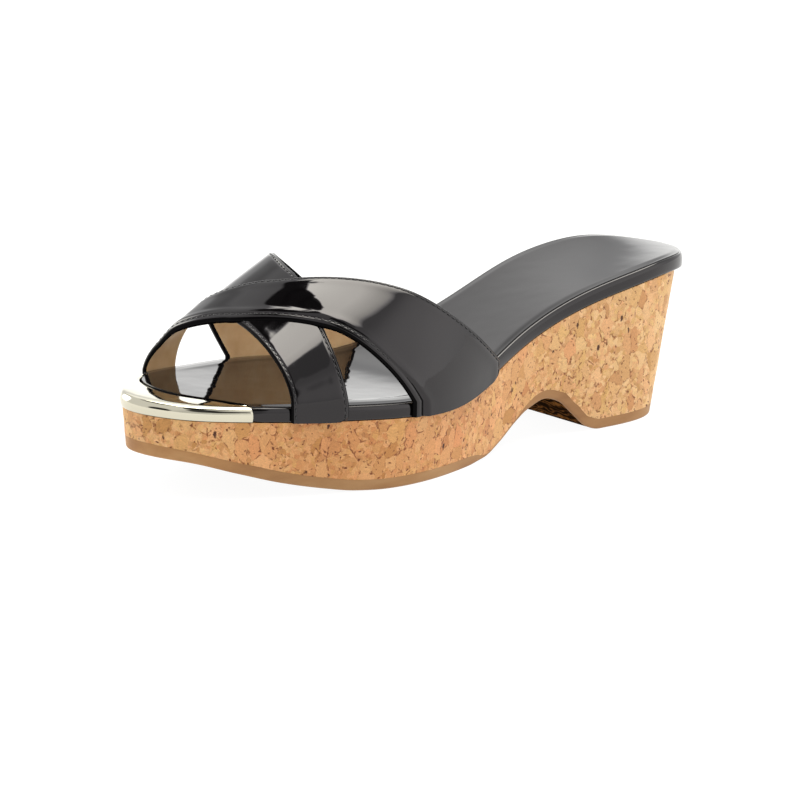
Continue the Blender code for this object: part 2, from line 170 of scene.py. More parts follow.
def new_material(name, **constants):
    """A named material, with constants set on the sockets of its main shader."""
    finish = bpy.data.materials.new(name)
    finish.use_nodes = True
    shader = finish.node_tree.nodes["Principled BSDF"]
    fill_inputs(shader, {socket.replace("_", " "): value for socket, value in constants.items()})
    return finish


print("white is", hex_colour("#FFFFFF"))

# %% The painted room
def direction(azimuth, elevation):
    """A unit vector from the shoe; azimuth 0 is in front of the toe, 90 at its outer side."""
    turn, rise = math.radians(azimuth), math.radians(elevation)
    return (math.sin(turn) * math.cos(rise), -math.cos(turn) * math.cos(rise), math.sin(rise))


def build_floor():
    """A pale floor, wide enough to fill the view."""
    bpy.ops.mesh.primitive_plane_add(size=FLOOR_SIZE)
    floor = bpy.context.object
    floor.name = "studio_floor"
    floor.data.materials.append(new_material(
        "pale_floor_paint", Base_Color=hex_colour("#4E4D4C"), Roughness=0.8,
        Emission_Color=hex_colour("#FFFFFF"), Emission_Strength=TABLE_RADIANCE))


def spot(tree, ray, azimuth, elevation, radius, softness, outside, inside):
    """A round soft-edged place in the room: one value outside it, another inside."""
    facing = add_node(tree, "VectorMath", (ray, direction(azimuth, elevation)),
                      operation="DOT_PRODUCT")["Value"]
    start, full = (math.cos(math.radians(radius + way * softness)) for way in (1, -1))
    return add_node(tree, "MapRange", (facing, start, full, outside, inside),
                    interpolation_type="SMOOTHSTEP")[0]


def band(tree, tangent, low, low_edge, high, high_edge):
    """1 between two soft edges, 0 outside them."""
    sides = [add_node(tree, "MapRange", (tangent, place - edge, place + edge, before, after),
                      interpolation_type="SMOOTHSTEP")[0]
             for place, edge, before, after in ((low, low_edge, 0, 1), (high, high_edge, 1, 0))]
    return add_node(tree, "Math", sides, operation="MULTIPLY")[0]


def paint_room():
    """The world's light by direction: walls, glows, the softbox and the cloths."""
    room = bpy.data.worlds.new("pale_room")
    bpy.context.scene.world = room
    room.use_nodes = True
    tree = room.node_tree
    ray = add_node(tree, "TexCoord")["Generated"]
    strength = WALL_RADIANCE
    for *place, added in GLOWS:
        glow = spot(tree, ray, *place, 0.0, added)
        strength = add_node(tree, "Math", (strength, glow), operation="ADD")[0]
    x, y, z = add_node(tree, "SeparateXYZ", (ray,))
    height = add_node(tree, "Math", (z, LEAST_RISE), operation="MAXIMUM")[0]
    across, along = (add_node(tree, "Math", (way, height), operation="DIVIDE")[0] for way in (x, y))
    starts, ends, left_over = SOFTBOX_FALLOFF
    softbox = add_node(tree, "MapRange", (across, starts, ends, SOFTBOX_RADIANCE,
                                          SOFTBOX_RADIANCE * left_over))[0]
    for across_edges, along_edges in SOFTBOX_PANELS:
        masks = band(tree, across, *across_edges), band(tree, along, *along_edges)
        panel = add_node(tree, "Math", masks, operation="MULTIPLY")[0]
        lit = add_node(tree, "Math", (softbox, panel), operation="MULTIPLY")[0]
        strength = add_node(tree, "Math", (strength, lit), operation="MAXIMUM")[0]
    for *place, left_over in CLOTHS:
        shade = spot(tree, ray, *place, 1.0, left_over)
        strength = add_node(tree, "Math", (strength, shade), operation="MULTIPLY")[0]
    share = add_node(tree, "Math", (strength, SOFTBOX_RADIANCE), operation="DIVIDE")[0]
    tint = add_node(tree, "ValToRGB", (share,), ROOM_TINTS)[0]
    fill_inputs(tree.nodes["Background"], {"Color": tint, "Strength": strength})
    return room


bpy.context.scene.view_settings.view_transform = "Standard"
build_floor()
print("the room is painted with", len(paint_room().node_tree.nodes), "nodes")

# %% [markdown]
# ## The shoe's drawing
#
# A shoemaker draws a sandal as a few measured sections. The tables here say, at each
# distance from the heel, how far the platform reaches to either side and how high the cork,
# the tread and the instep stand. Smooth curves run through the rows, so a handful of
# numbers gives the whole form, and every piece below reads the same drawing.

# %% The tables, in millimetres
MM = 0.001
LENGTH = 248 * MM
ORIGIN_ACROSS = 3.6 * MM     # the frame's origin, from the heel's middle line
ORIGIN_FROM_HEEL = 125 * MM
PLAN = (                     # from heel, reach to the outer side, reach to the inner side
    (4, 10, 10.5), (14, 20, 20.5), (30, 26, 26.5), (50, 27.5, 27.5), (75, 27.5, 24),
    (100, 31, 22.5), (125, 39.5, 27.5), (150, 47, 35), (170, 48, 40.5), (190, 42.5, 41),
    (210, 34.5, 39), (228, 25.5, 33), (240, 16.5, 22.5),
)
TOE_TIP_ACROSS = -11.5
SEAT = (                     # from heel, top of the cork
    (0, 51.5), (20, 54), (40, 52.5), (60, 49), (80, 43.7), (100, 37), (120, 30.2),
    (140, 26), (160, 25.8), (180, 26.8), (200, 27.6), (220, 28.7), (248, 30.2),
)
TREAD = (                    # from heel, underside: heel, arch, ball and toe spring
    (0, 0), (55, 0), (61, 1.7), (68, 7.6), (75, 13.5), (82, 15.5), (90, 13.5), (98, 10),
    (108, 4.5),
    (118, 1), (130, 0), (172, 0), (184, 0.5), (195, 2.1), (210, 5.3), (225, 9.7),
    (240, 14.1), (248, 15.1),
)
SHEET = (                    # from heel, thickness of the outsole: skived thin into the arch
    (0, 4), (56, 3.9), (64, 3.5), (87, 3.3), (93, 2.2), (98, 1), (103, 0.8), (115, 0.8),
    (119, 1.2), (125, 3.2), (131, 3.9), (172, 4.1), (215, 4.1), (233, 3.8), (248, 4.8),
)
DISH = (                     # from heel, how far the footbed's middle lies below its rim
    (0, 0), (30, 1.5), (100, 0.6), (165, 0.9), (205, 0.2), (225, 0), (248, 0),
)
RIDGE = ((95, 99.5), (125, 82.5), (155, 63.5), (185, 44.5), (215, 24.5))
print("the drawing has", len(PLAN) + len(SEAT) + len(TREAD), "measured rows")

# %% Curves through the rows
def smooth_curve(knots, values):
    """A natural spline, like a drawing spline bent round pins."""
    x = np.asarray(knots, float)
    y = np.asarray(values, float)
    step = np.diff(x)
    system = np.eye(len(x))
    right = np.zeros(y.shape)
    for i in range(1, len(x) - 1):
        system[i, i - 1:i + 2] = step[i - 1], 2 * (step[i - 1] + step[i]), step[i]
        right[i] = 6 * ((y[i + 1] - y[i]) / step[i] - (y[i] - y[i - 1]) / step[i - 1])
    bend = np.linalg.solve(system, right.reshape(len(x), -1)).reshape(y.shape)

    def value(place):
        place = np.asarray(place, float)
        i = np.clip(np.searchsorted(x, place) - 1, 0, len(x) - 2)
        shape = place.shape + (1,) * (y.ndim - 1)
        span = step[i].reshape(shape)
        b = ((place - x[i]) / step[i]).reshape(shape)
        a = 1 - b
        curve = (a ** 3 - a) * bend[i] + (b ** 3 - b) * bend[i + 1]
        return a * y[i] + b * y[i + 1] + curve * span ** 2 / 6

    return value


def steady_curve(knots, values):
    """A curve that never swings past its rows, so that flats stay flat."""
    x = np.asarray(knots, float)
    y = np.asarray(values, float)
    step = np.diff(x)
    slope = np.diff(y) / step
    tangent = np.zeros(len(x))
    for i in range(1, len(x) - 1):
        if slope[i - 1] * slope[i] > 0:
            tangent[i] = 2 * slope[i - 1] * slope[i] / (slope[i - 1] + slope[i])
    tangent[-1] = slope[-1]

    def value(place):
        place = np.clip(place, x[0], x[-1])
        i = np.clip(np.searchsorted(x, place) - 1, 0, len(x) - 2)
        t = (place - x[i]) / step[i]
        rise = y[i + 1] - y[i]
        start = step[i] * tangent[i]
        end = step[i] * tangent[i + 1]
        bow = (3 * rise - 2 * start - end) * t ** 2 + (start + end - 2 * rise) * t ** 3
        return y[i] + start * t + bow

    return value


def along_shoe(kind, rows):
    """A curve in metres through a table in millimetres."""
    table = np.array(rows) * MM
    return kind(table[:, 0], table[:, 1])


def ease(share):
    """A soft step from 0 to 1."""
    share = np.clip(share, 0.0, 1.0)
    return share * share * (3 - 2 * share)


seat = along_shoe(smooth_curve, SEAT)
ridge = along_shoe(smooth_curve, RIDGE)
tread = along_shoe(steady_curve, TREAD)
sheet_thickness = along_shoe(steady_curve, SHEET)
dish = along_shoe(steady_curve, DISH)
print("cork height at the heel", round(float(seat(0.02)) / MM, 1), "mm")

# %% The plan, cut into an outer and an inner side
OUTLINE_SAMPLES = 2400
WRAP = 3                     # rows repeated at either end, so that the closed curve has no kink


def plan_sides():
    """For each side: distance from heel, place across, and the outward direction."""
    points = [(0.0, 0.0)]
    points += [(lateral, place) for place, lateral, medial in PLAN]
    points += [(TOE_TIP_ACROSS, LENGTH / MM)]
    points += [(-medial, place) for place, lateral, medial in reversed(PLAN)]
    around = np.array(points[-WRAP:] + points + points[:WRAP + 1]) * MM
    length = np.append(0, np.cumsum(np.hypot(*np.diff(around, axis=0).T)))
    outline = smooth_curve(length, around)
    samples = np.linspace(length[WRAP], length[WRAP + len(points)], OUTLINE_SAMPLES + 1)
    loop = outline(samples)[:-1]
    loop = np.roll(loop, -int(np.argmin(loop[:, 1])), axis=0)
    toe = int(np.argmax(loop[:, 1]))
    sides = {}
    for name, edge, outward in (("lateral", loop[:toe + 1], 1),
                                ("medial", np.vstack([loop[toe:], loop[:1]])[::-1], -1)):
        tangent = np.gradient(edge, axis=0)
        tangent /= np.linalg.norm(tangent, axis=1)[:, None]
        normal = np.stack([tangent[:, 1], -tangent[:, 0]], axis=1) * outward
        normal[0] = 0.0, -1.0
        normal[-1] = 0.0, 1.0
        sides[name] = {"place": edge[:, 1], "across": edge[:, 0], "normal": normal}
    return sides


SIDES = plan_sides()
HEEL_TIP = SIDES["lateral"]["place"][0]
TOE_TIP = SIDES["lateral"]["place"][-1]


def side_point(side, place, inset=0.0):
    """Place across and along of the plan's edge, moved in by an inset."""
    edge = SIDES[side]
    across = np.interp(place, edge["place"], edge["across"])
    out = [np.interp(place, edge["place"], edge["normal"][:, i]) for i in (0, 1)]
    size = np.hypot(*out)
    return across - inset * out[0] / size, place - inset * out[1] / size


reaches = [side_point(side, SIDES["lateral"]["place"])[0] for side in ("lateral", "medial")]
print("the platform is", round(float((reaches[0] - reaches[1]).max()) / MM, 1), "mm wide")

# %% [markdown]
# ## Sheets that know their place
#
# Outsole, cork, footbed and sock all share one plan, so one way of starting serves them
# all. A grid primitive is pressed from a square into the shoe's plan, as a square of dough
# is pressed into a tin, so there is no pole at heel or toe. Each vertex then keeps two
# numbers: its place along the shoe and its share of the way across. An extrude or a cut
# hands those numbers on to the new vertices, so any level can be drawn from them later.

# %% Values that ride on the vertices
def read_vertices(piece, kind="co"):
    """Every vertex's place or, with the kind "normal", its normal."""
    vectors = np.empty(len(piece.data.vertices) * 3)
    piece.data.vertices.foreach_get(kind, vectors)
    return vectors.reshape(-1, 3)


def read_values(piece, name):
    values = np.empty(len(piece.data.vertices), np.float32)
    piece.data.attributes[name].data.foreach_get("value", values)
    return values.astype(float)


def keep_values(piece, name, values):
    """Store one number a vertex under a name, as a point attribute."""
    layer = piece.data.attributes.new(name, "FLOAT", "POINT")
    layer.data.foreach_set("value", np.asarray(values, np.float32))


def to_frame(points):
    """Places across, along from the heel and up, turned into the frame's own."""
    across, along, height = np.asarray(points).reshape(-1, 3).T
    return np.stack([across - ORIGIN_ACROSS, ORIGIN_FROM_HEEL - along, height], axis=1)


def put_points(piece, points):
    piece.data.vertices.foreach_set("co", to_frame(points).ravel())
    piece.data.update()


# %% Operators on chosen pieces
def choose(*pieces):
    """Select these pieces alone, with the first one active."""
    bpy.ops.object.select_all(action="DESELECT")
    for piece in pieces:
        piece.select_set(True)
    bpy.context.view_layer.objects.active = pieces[0]


def in_edit_mode(piece, *steps, everything=True):
    """Run edit-mode operators on all of a piece, or on what is selected in it."""
    choose(piece)
    bpy.ops.object.mode_set(mode="EDIT")
    if everything:
        bpy.ops.mesh.select_all(action="SELECT")
    for step in steps:
        step()
    bpy.ops.object.mode_set(mode="OBJECT")


def smooth_off(piece, sharp_degrees=40):
    """Smooth shading, with edges sharper than the angle left crisp."""
    choose(piece)
    bpy.ops.object.shade_smooth_by_angle(angle=math.radians(sharp_degrees))


def add_modifier(piece, kind, **settings):
    """Put one modifier on a piece, and apply it."""
    modifier = piece.modifiers.new(kind.lower(), kind)
    for name, value in settings.items():
        setattr(modifier, name, value)
    choose(piece)
    bpy.ops.object.modifier_apply(modifier=modifier.name)


def triangles(piece):
    return sum(len(face.vertices) - 2 for face in piece.data.polygons)


# %% A grid pressed into the shoe's plan
RIM_CROWDING = 0.6        # cells near the rim are this much narrower than in the middle


def new_grid(name, columns, rows):
    bpy.ops.mesh.primitive_grid_add(x_subdivisions=columns, y_subdivisions=rows, size=LENGTH)
    piece = bpy.context.object
    piece.name = name
    return piece


def plan_grid(name, cells_across, cells_along, front=None):
    """A grid in the plan of the shoe. A front curve, if given, cuts it off behind the toe."""
    piece = new_grid(name, cells_across, cells_along)
    corner = read_vertices(piece)[:, :2] / (LENGTH / 2)
    a, b = (corner * (1 + RIM_CROWDING * (1 - corner ** 2) / 2)).T
    b = -b
    pressed = np.ones(len(a), bool) if front is None else b < 0
    x = np.where(pressed, a * np.sqrt(1 - b ** 2 / 2), a)
    y = np.where(pressed, b * np.sqrt(1 - a ** 2 / 2), b)
    reach = np.where(pressed, np.sqrt(np.maximum(1 - y ** 2, 1e-12)), 1.0)
    share = np.clip((1 - x / reach) / 2, 0, 1)
    share = np.where(np.abs(x) < 1e-6, 0.5, share)
    middle = (HEEL_TIP + TOE_TIP) / 2
    place = middle + y * (TOE_TIP - HEEL_TIP) / 2
    if front is not None:
        place = np.where(pressed, place, middle + y * (front(share) - middle))
    keep_values(piece, "place", place)
    keep_values(piece, "share", share)
    return piece


def raise_slab(piece, wall_cuts):
    """Extrude a sheet into a slab and cut its wall; "rise" runs from 0 below to 1 on top."""
    in_edit_mode(piece, lambda: bpy.ops.mesh.extrude_region_move(
        TRANSFORM_OT_translate={"value": (0, 0, MM)}))
    mesh = piece.data
    on_top = np.empty(len(mesh.vertices), bool)
    mesh.vertices.foreach_get("select", on_top)
    keep_values(piece, "rise", on_top)
    ends = np.empty(len(mesh.edges) * 2, int)
    mesh.edges.foreach_get("vertices", ends)
    standing = on_top[ends[0::2]] != on_top[ends[1::2]]
    bpy.context.tool_settings.mesh_select_mode = (False, True, False)
    for parts, chosen in ((mesh.vertices, False), (mesh.polygons, False), (mesh.edges, standing)):
        parts.foreach_set("select", np.zeros(len(parts), bool) | chosen)
    in_edit_mode(piece, lambda: bpy.ops.mesh.subdivide(number_cuts=wall_cuts), everything=False)


def across_shoe(piece, side_function):
    """Points between the two sides, each by its vertex's own place and share."""
    place = read_values(piece, "place")
    share = read_values(piece, "share")[:, None]
    return side_function("lateral", place) * (1 - share) + side_function("medial", place) * share


def face_outwards(piece):
    """Make the faces agree; a shell that comes out inside out, by its volume, is turned."""
    in_edit_mode(piece, lambda: bpy.ops.mesh.normals_make_consistent(inside=False))
    piece.data.calc_loop_triangles()
    corners = np.array([triangle.vertices for triangle in piece.data.loop_triangles])
    first, second, third = read_vertices(piece)[corners.T]
    if (first * np.cross(second, third)).sum() < 0:
        in_edit_mode(piece, bpy.ops.mesh.flip_normals)


# %% [markdown]
# ## The outsole
#
# Under the cork lies a thin sheet of brown rubber, cut to the plan, sanded smooth round the
# edge and following the heel, the arch and the toe spring. It could be modelled flat and
# bent, but the drawing already knows its height at every place, so the slab is raised from
# the plan and each ring of its wall is put where the rounded lower edge runs.

# %% The rubber outsole
OUTSOLE_EDGE = 1.0 * MM       # rounding of the lower edge, where the sheet is thick enough
SIDE_TAPER = 2.8 * MM         # the foot of the wall stands in by this much, at the sides
TOE_TAPER = 1.2 * MM
TAPER_FADE_FROM = 200 * MM
HEEL_RAKE = 9.7 * MM          # the heel's back leans in towards the ground
HEEL_RAKE_LENGTH = 60 * MM
CORK_SETBACK = 5.0 * MM       # the cork stops short of the footbed at the back
CORK_SETBACK_LENGTH = 40 * MM
SETTLING_ROUNDS = 8           # for a wall point to settle on its level
ROUNDED_PART = 0.5            # of the wall's rings, which follow the rounded edge
SLOPE_REACH = 0.5 * MM


def outsole_top(place):
    slope = (tread(place + SLOPE_REACH) - tread(place - SLOPE_REACH)) / (2 * SLOPE_REACH)
    return tread(place) + sheet_thickness(place) * np.sqrt(1 + slope ** 2)


def outsole_edge(place):
    return np.minimum(OUTSOLE_EDGE, sheet_thickness(place) / 2)


def wall_point(side, place, level, inset=0.0):
    """A point of the leaning wall of sole and cork, at a level."""
    toe_share = np.clip((place - TAPER_FADE_FROM) / (LENGTH - TAPER_FADE_FROM), 0, 1)
    taper = SIDE_TAPER * (1 - toe_share) + TOE_TAPER * toe_share
    top_across, top_along = side_point(side, place, inset)
    foot_across, foot_along = side_point(side, place, inset + taper)
    setback = CORK_SETBACK * np.clip(1 - place / CORK_SETBACK_LENGTH, 0, 1) ** 2
    top_along = top_along + setback
    foot_along = foot_along + setback + HEEL_RAKE * np.clip(1 - place / HEEL_RAKE_LENGTH, 0, 1)
    foot_height = tread(foot_along)
    wall_height = seat(top_along) - foot_height
    share = 0.5
    for _ in range(SETTLING_ROUNDS):
        along = foot_along + (top_along - foot_along) * share
        share = (level(along) - foot_height) / wall_height
    across = foot_across + (top_across - foot_across) * share
    return np.stack([across, along, level(along)], axis=-1)


def model_outsole():
    piece = plan_grid("rubber_outsole", 44, 150)
    raise_slab(piece, wall_cuts=9)
    rise = read_values(piece, "rise")
    turn = np.clip(rise / ROUNDED_PART, 0, 1) * math.pi / 2
    climb = np.clip((rise - ROUNDED_PART) / (1 - ROUNDED_PART), 0, 1)

    def level(along):
        low = tread(along) + outsole_edge(along) * (1 - np.cos(turn))
        return low + (outsole_top(along) - low) * climb

    put_points(piece, across_shoe(piece, lambda side, place: wall_point(
        side, place, level, outsole_edge(place) * (1 - np.sin(turn)))))
    face_outwards(piece)
    smooth_off(piece)
    return piece


outsole = model_outsole()
print("outsole:", triangles(outsole), "triangles")

# %% [markdown]
# ## The cork wedge
#
# Heel, arch and platform are one block of agglomerated cork: ground granules pressed with
# glue and sanded to shape. Sanding tears some granules out, so the wall isn't quite flat.
# The block is raised like the outsole, and a Displace modifier with a cell texture then
# pushes each granule of the wall in or out by a tenth of a millimetre.

# %% The cork block and its torn wall
CORK_SEAM = 0.05 * MM         # glue line on the outsole
GRANULE_SIZE = 3.6 * MM
GRANULE_RELIEF = 0.22 * MM


def model_wedge():
    piece = plan_grid("cork_wedge", 56, 176)
    raise_slab(piece, wall_cuts=30)
    rise = read_values(piece, "rise")[:, None]
    top, bottom = (across_shoe(piece, lambda side, place: wall_point(side, place, level))
                   for level in (seat, lambda along: outsole_top(along) + CORK_SEAM))
    put_points(piece, bottom * (1 - rise) + top * rise)
    face_outwards(piece)
    wall = piece.vertex_groups.new(name="wall")
    inside_wall = np.flatnonzero((rise[:, 0] > 0) & (rise[:, 0] < 1))
    wall.add(inside_wall.tolist(), 1.0, "REPLACE")
    cells = bpy.data.textures.new("torn_granules", "VORONOI")
    cells.noise_scale = GRANULE_SIZE
    cells.distance_metric = "DISTANCE"
    add_modifier(piece, "DISPLACE", texture=cells, texture_coords="LOCAL", vertex_group="wall",
                 strength=GRANULE_RELIEF, mid_level=0.5)
    smooth_off(piece)
    return piece


wedge = model_wedge()
print("cork wedge:", triangles(wedge), "triangles")

# %% [markdown]
# ## The padded footbed
#
# A board with a thin layer of foam is wrapped in patent leather. Its side is a band about
# six millimetres tall that swells a little and turns over in a small round shoulder. The
# slab is raised in the same way, and the rings of its wall follow one drawn profile. At the
# toe the band steps in, to leave room for the metal plate.

# %% The footbed and its rounded band
PLATE_THICKNESS = 0.8 * MM
PLATE_LATERAL_END = 222.2 * MM
PLATE_MEDIAL_END = 221.2 * MM
PLATE_POCKET = 1.1 * MM
PLATE_POCKET_FADE = 2.5 * MM
PLATE_POCKET_DEPTH = 0.5 * MM
SHOULDER_FROM = 3 * MM        # above this the band's side turns into its shoulder
FOOTBED_SIDE = (              # height above the cork, reach past its edge
    (0.15, -0.2), (0.35, 0.1), (1.2, 0.35), (2.6, 0.4), (4.2, 0.25), (5.1, -0.05),
    (5.5, -0.4), (5.55, -0.75), (5.3, -1.15), (5.0, -1.6), (4.9, -2.4),
)


def rim_point(side, place, lift, proud, pocket=False):
    """A point of the footbed's side, from its height above the cork and its reach."""
    if pocket:
        end = PLATE_LATERAL_END if side == "lateral" else PLATE_MEDIAL_END
        stepped = ease((place - end) / PLATE_POCKET_FADE + 1)
        proud = proud - PLATE_POCKET * stepped
        lift = lift - PLATE_POCKET_DEPTH * stepped * (lift > SHOULDER_FROM)
    across, along = side_point(side, place, -proud)
    return np.stack([across, along, seat(np.clip(along, 0, LENGTH)) + lift], axis=-1)


def profile_curve(rows):
    """A drawn profile as a smooth function of the share of its length."""
    points = np.array(rows) * MM
    length = np.append(0, np.cumsum(np.linalg.norm(np.diff(points, axis=0), axis=1)))
    return smooth_curve(length / length[-1], points)


def bowl(share):
    """0 at the rim and 1 in the middle."""
    return 1 - (2 * share - 1) ** 2


def model_footbed():
    piece = plan_grid("padded_footbed", 44, 150)
    raise_slab(piece, wall_cuts=15)
    rise = read_values(piece, "rise")
    lift, proud = profile_curve(FOOTBED_SIDE)(rise).T
    points = across_shoe(
        piece, lambda side, place: rim_point(side, place, lift, proud, pocket=True))
    points[:, 2] -= dish(points[:, 1]) * bowl(read_values(piece, "share")) * (rise == 1)
    put_points(piece, points)
    face_outwards(piece)
    smooth_off(piece, sharp_degrees=60)
    return piece


footbed = model_footbed()
print("footbed:", triangles(footbed), "triangles")

# %% [markdown]
# ## The sock
#
# The sock is the leather sheet that the foot touches. It lies on the board, cups a little
# under the heel and ball, and rolls down at its rim, where a thin dark crease parts it from
# the band. In front it stops in a shallow curve behind the toe plate. A grid with a pressed
# heel end and a curved front gives it, and Solidify and Bevel give its edge.

# %% The sock, with its front cut along the plate
SOCK_THICKNESS = 0.8 * MM
SOCK_TOP = 6.2 * MM
SOCK_INSET = 0.95 * MM
SOCK_ROLL = 0.35 * MM         # how far the rim rolls down
SOCK_ROLL_WIDTH = 3.5 * MM
SOCK_EDGE_RADIUS = 0.3 * MM
SOCK_FRONT_GAP = 0.25 * MM
STRAP_END_FROM_RIM = 6.2 * MM # the straps' ends, tucked under the sock, show as a faint ridge
STRAP_END_WIDTH = 1.5 * MM
STRAP_END_HEIGHT = 0.11 * MM
STRAP_END_PLACES = (112 * MM, 212 * MM)
STRAP_END_FADE = 12 * MM
PLATE_REAR = (                # rear edge of the plate's flange: place across, from heel
    (25.6, 222.6), (21, 224.8), (15, 227.3), (9, 230.2), (1, 233.6), (-8, 235),
    (-16.5, 234.2), (-25, 231), (-32.8, 221.4),
)


def sock_front():
    """Where the sock ends, as a function of the share across the shoe."""
    edge = profile_curve(PLATE_REAR)(np.linspace(0, 1, 200))
    lateral = side_point("lateral", edge[:, 1])[0]
    medial = side_point("medial", edge[:, 1])[0]
    shares = (lateral - edge[:, 0]) / (lateral - medial)
    places = edge[:, 1] - SOCK_FRONT_GAP
    return lambda share: np.interp(share, shares, places)


def model_sock():
    piece = plan_grid("patent_sock", 64, 150, front=sock_front())
    points = across_shoe(
        piece, lambda side, place: rim_point(side, place, SOCK_TOP, -SOCK_INSET))
    along = points[:, 1]
    share = read_values(piece, "share")
    lateral, medial = (side_point(side, along)[0] for side in ("lateral", "medial"))
    from_side = np.minimum(share, 1 - share) * (lateral - medial)
    from_rim = np.minimum(from_side, along - HEEL_TIP)
    roll = SOCK_ROLL * (1 - ease(from_rim / SOCK_ROLL_WIDTH))
    first, last = STRAP_END_PLACES
    under = ease((along - first) / STRAP_END_FADE) * ease((last - along) / STRAP_END_FADE)
    ridges = under * np.exp(-((from_rim - STRAP_END_FROM_RIM) / STRAP_END_WIDTH) ** 2)
    points[:, 2] = seat(along) + SOCK_TOP - dish(along) * bowl(share) - roll
    points[:, 2] += STRAP_END_HEIGHT * ridges
    put_points(piece, points)
    face_outwards(piece)
    add_modifier(piece, "SOLIDIFY", thickness=SOCK_THICKNESS, offset=-1.0)
    add_modifier(piece, "BEVEL", width=SOCK_EDGE_RADIUS, segments=3, limit_method="ANGLE")
    smooth_off(piece, sharp_degrees=60)
    return piece


sock = model_sock()
print("sock:", triangles(sock), "triangles")

# %% [markdown]
# ## The toe plate
#
# A strip of thin brass is pressed over the toe: a band about four millimetres tall, a soft
# shoulder, and a crescent flange that ends over the sock. Pressing a flat strip round a
# curve leaves faint waves in it. The plate is a grid primitive with one row for each place
# round the toe, set on the drawn profile, and Solidify and Bevel make it sheet metal.

# %% The gilt plate round the toe
PLATE_SIDE = ((0.4, 0.6), (1.4, 0.85), (2.6, 0.92), (3.6, 0.8), (4.35, 0.5), (4.95, 0.1),
              (5.35, -0.35), (5.62, -1.1), (5.80, -2.4))
PLATE_ROWS = 110
PLATE_BAND_COLUMNS = 16
PLATE_FLANGE_COLUMNS = 10
PLATE_DOME = 0.15 * MM
PLATE_EDGE_RADIUS = 0.22 * MM
SQUARING_ROUNDS = 4           # for a line's end to settle on the plate's cut


def grid_piece(name, grid, inside_point):
    """A grid primitive with one vertex for each point of a grid, turned to face outwards."""
    piece = new_grid(name, len(grid[0]) - 1, len(grid) - 1)
    put_points(piece, grid)
    outward = read_vertices(piece) - np.asarray(inside_point)
    if (read_vertices(piece, "normal") * outward).sum() < 0:
        in_edit_mode(piece, bpy.ops.mesh.flip_normals)
    return piece


def plate_rim(side, end, turn, lift, proud):
    """One line round the toe at a height and reach, starting square at the plate's cut end."""
    start = end
    for _ in range(SQUARING_ROUNDS):
        start += end - side_point(side, start, -proud)[1]
    return rim_point(side, start + (TOE_TIP - start) * turn, lift, proud)


def plate_grid():
    """Rows round the toe from the outer end to the inner end, columns up and over the rim."""
    way = np.linspace(-1, 1, PLATE_ROWS + 1)
    turn = np.sin(math.pi / 2 * (1 - np.abs(way)))
    lines = []
    for lift, proud in profile_curve(PLATE_SIDE)(np.linspace(0, 1, PLATE_BAND_COLUMNS + 1)):
        lateral = plate_rim("lateral", PLATE_LATERAL_END, turn, lift, proud)
        medial = plate_rim("medial", PLATE_MEDIAL_END, turn, lift, proud)
        lines.append(np.where(way[:, None] < 0, lateral, medial))
    shoulder = lines[-1]
    length = np.append(0, np.cumsum(np.linalg.norm(np.diff(shoulder, axis=0), axis=1)))
    rear = profile_curve(PLATE_REAR)(length / length[-1])
    for share in np.linspace(0, 1, PLATE_FLANGE_COLUMNS + 1)[1:]:
        point = shoulder.copy()
        point[:, :2] = shoulder[:, :2] * (1 - share) + rear * share
        dome = PLATE_DOME * np.sin(math.pi * share) * (1 - share)
        point[:, 2] = seat(point[:, 1]) + PLATE_SIDE[-1][0] * MM + dome
        lines.append(point)
    return np.stack(lines, axis=1)


def model_plate():
    low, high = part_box("toe_plate")
    piece = grid_piece("gilt_toe_plate", plate_grid(), (0.0, high.y, low.z))
    add_modifier(piece, "SOLIDIFY", thickness=PLATE_THICKNESS, offset=-1.0, use_even_offset=True)
    add_modifier(piece, "BEVEL", width=PLATE_EDGE_RADIUS, segments=3, limit_method="ANGLE",
                 angle_limit=math.radians(50))
    smooth_off(piece, sharp_degrees=50)
    return piece


plate = model_plate()
print("toe plate:", triangles(plate), "triangles")

# %% [markdown]
# ## The crossed straps
#
# Each strap is a wide ribbon of patent leather, folded back at its edges, lined with tan
# leather and held by a stitch row near each edge. It rises straight up past the footbed's
# band, turns in over the foot, and goes down on the other side. The wide strap lies on the
# narrow one. A ribbon is best made as a grid whose rows follow the instep's section and
# whose columns stand closer near the edges, where the stitching pulls a shallow groove.

# %% The drawings of the instep and the two straps
STRAP_WALL = 1.7 * MM
STRAP_PROUD = 2.7 * MM        # outer face of a strap's end, out from the cork's top edge
STRAP_BEND = 6.1 * MM         # height above the cork where the straps start to lean in
STRAP_FOOT = 0.3 * MM
FOOT_CORNER = 2.6 * MM        # rounding of a strap's rear corner at its foot
STRAP_ACROSS_POWER = 2.3      # the instep's section is a superellipse
STRAP_UP_POWER = 1.95
RIDGE_SHIFT = 5.6 * MM        # its ridge lies towards the big toe
RIDGE_SHIFT_PER_METRE = 0.062
RIDGE_SHIFT_FROM = 155 * MM
RIDGE_SHIFT_POWER = 1.5       # it grows towards the top
CROSSING_STARTS = 45.0        # degrees round the instep
CROSSING_ENDS = 120.0
CROSSING_RAMP = 26.0
ARCH_ROWS = 190
LEG_ROWS = 8
STRAP_ROWS = np.arange(ARCH_ROWS + 2 * LEG_ROWS + 1.0)
HALF_TURN = 180.0


def strap_drawing(name, edges, swells, seam_starts, sewn_faces, **lengths):
    """A strap's measures, with its lengths turned from millimetres into metres."""
    lengths = {key: np.array(value) * MM for key, value in lengths.items()}
    return SimpleNamespace(name=name, edges=edges, swells=swells, seam_starts=seam_starts,
                           sewn_faces=sewn_faces, **lengths)


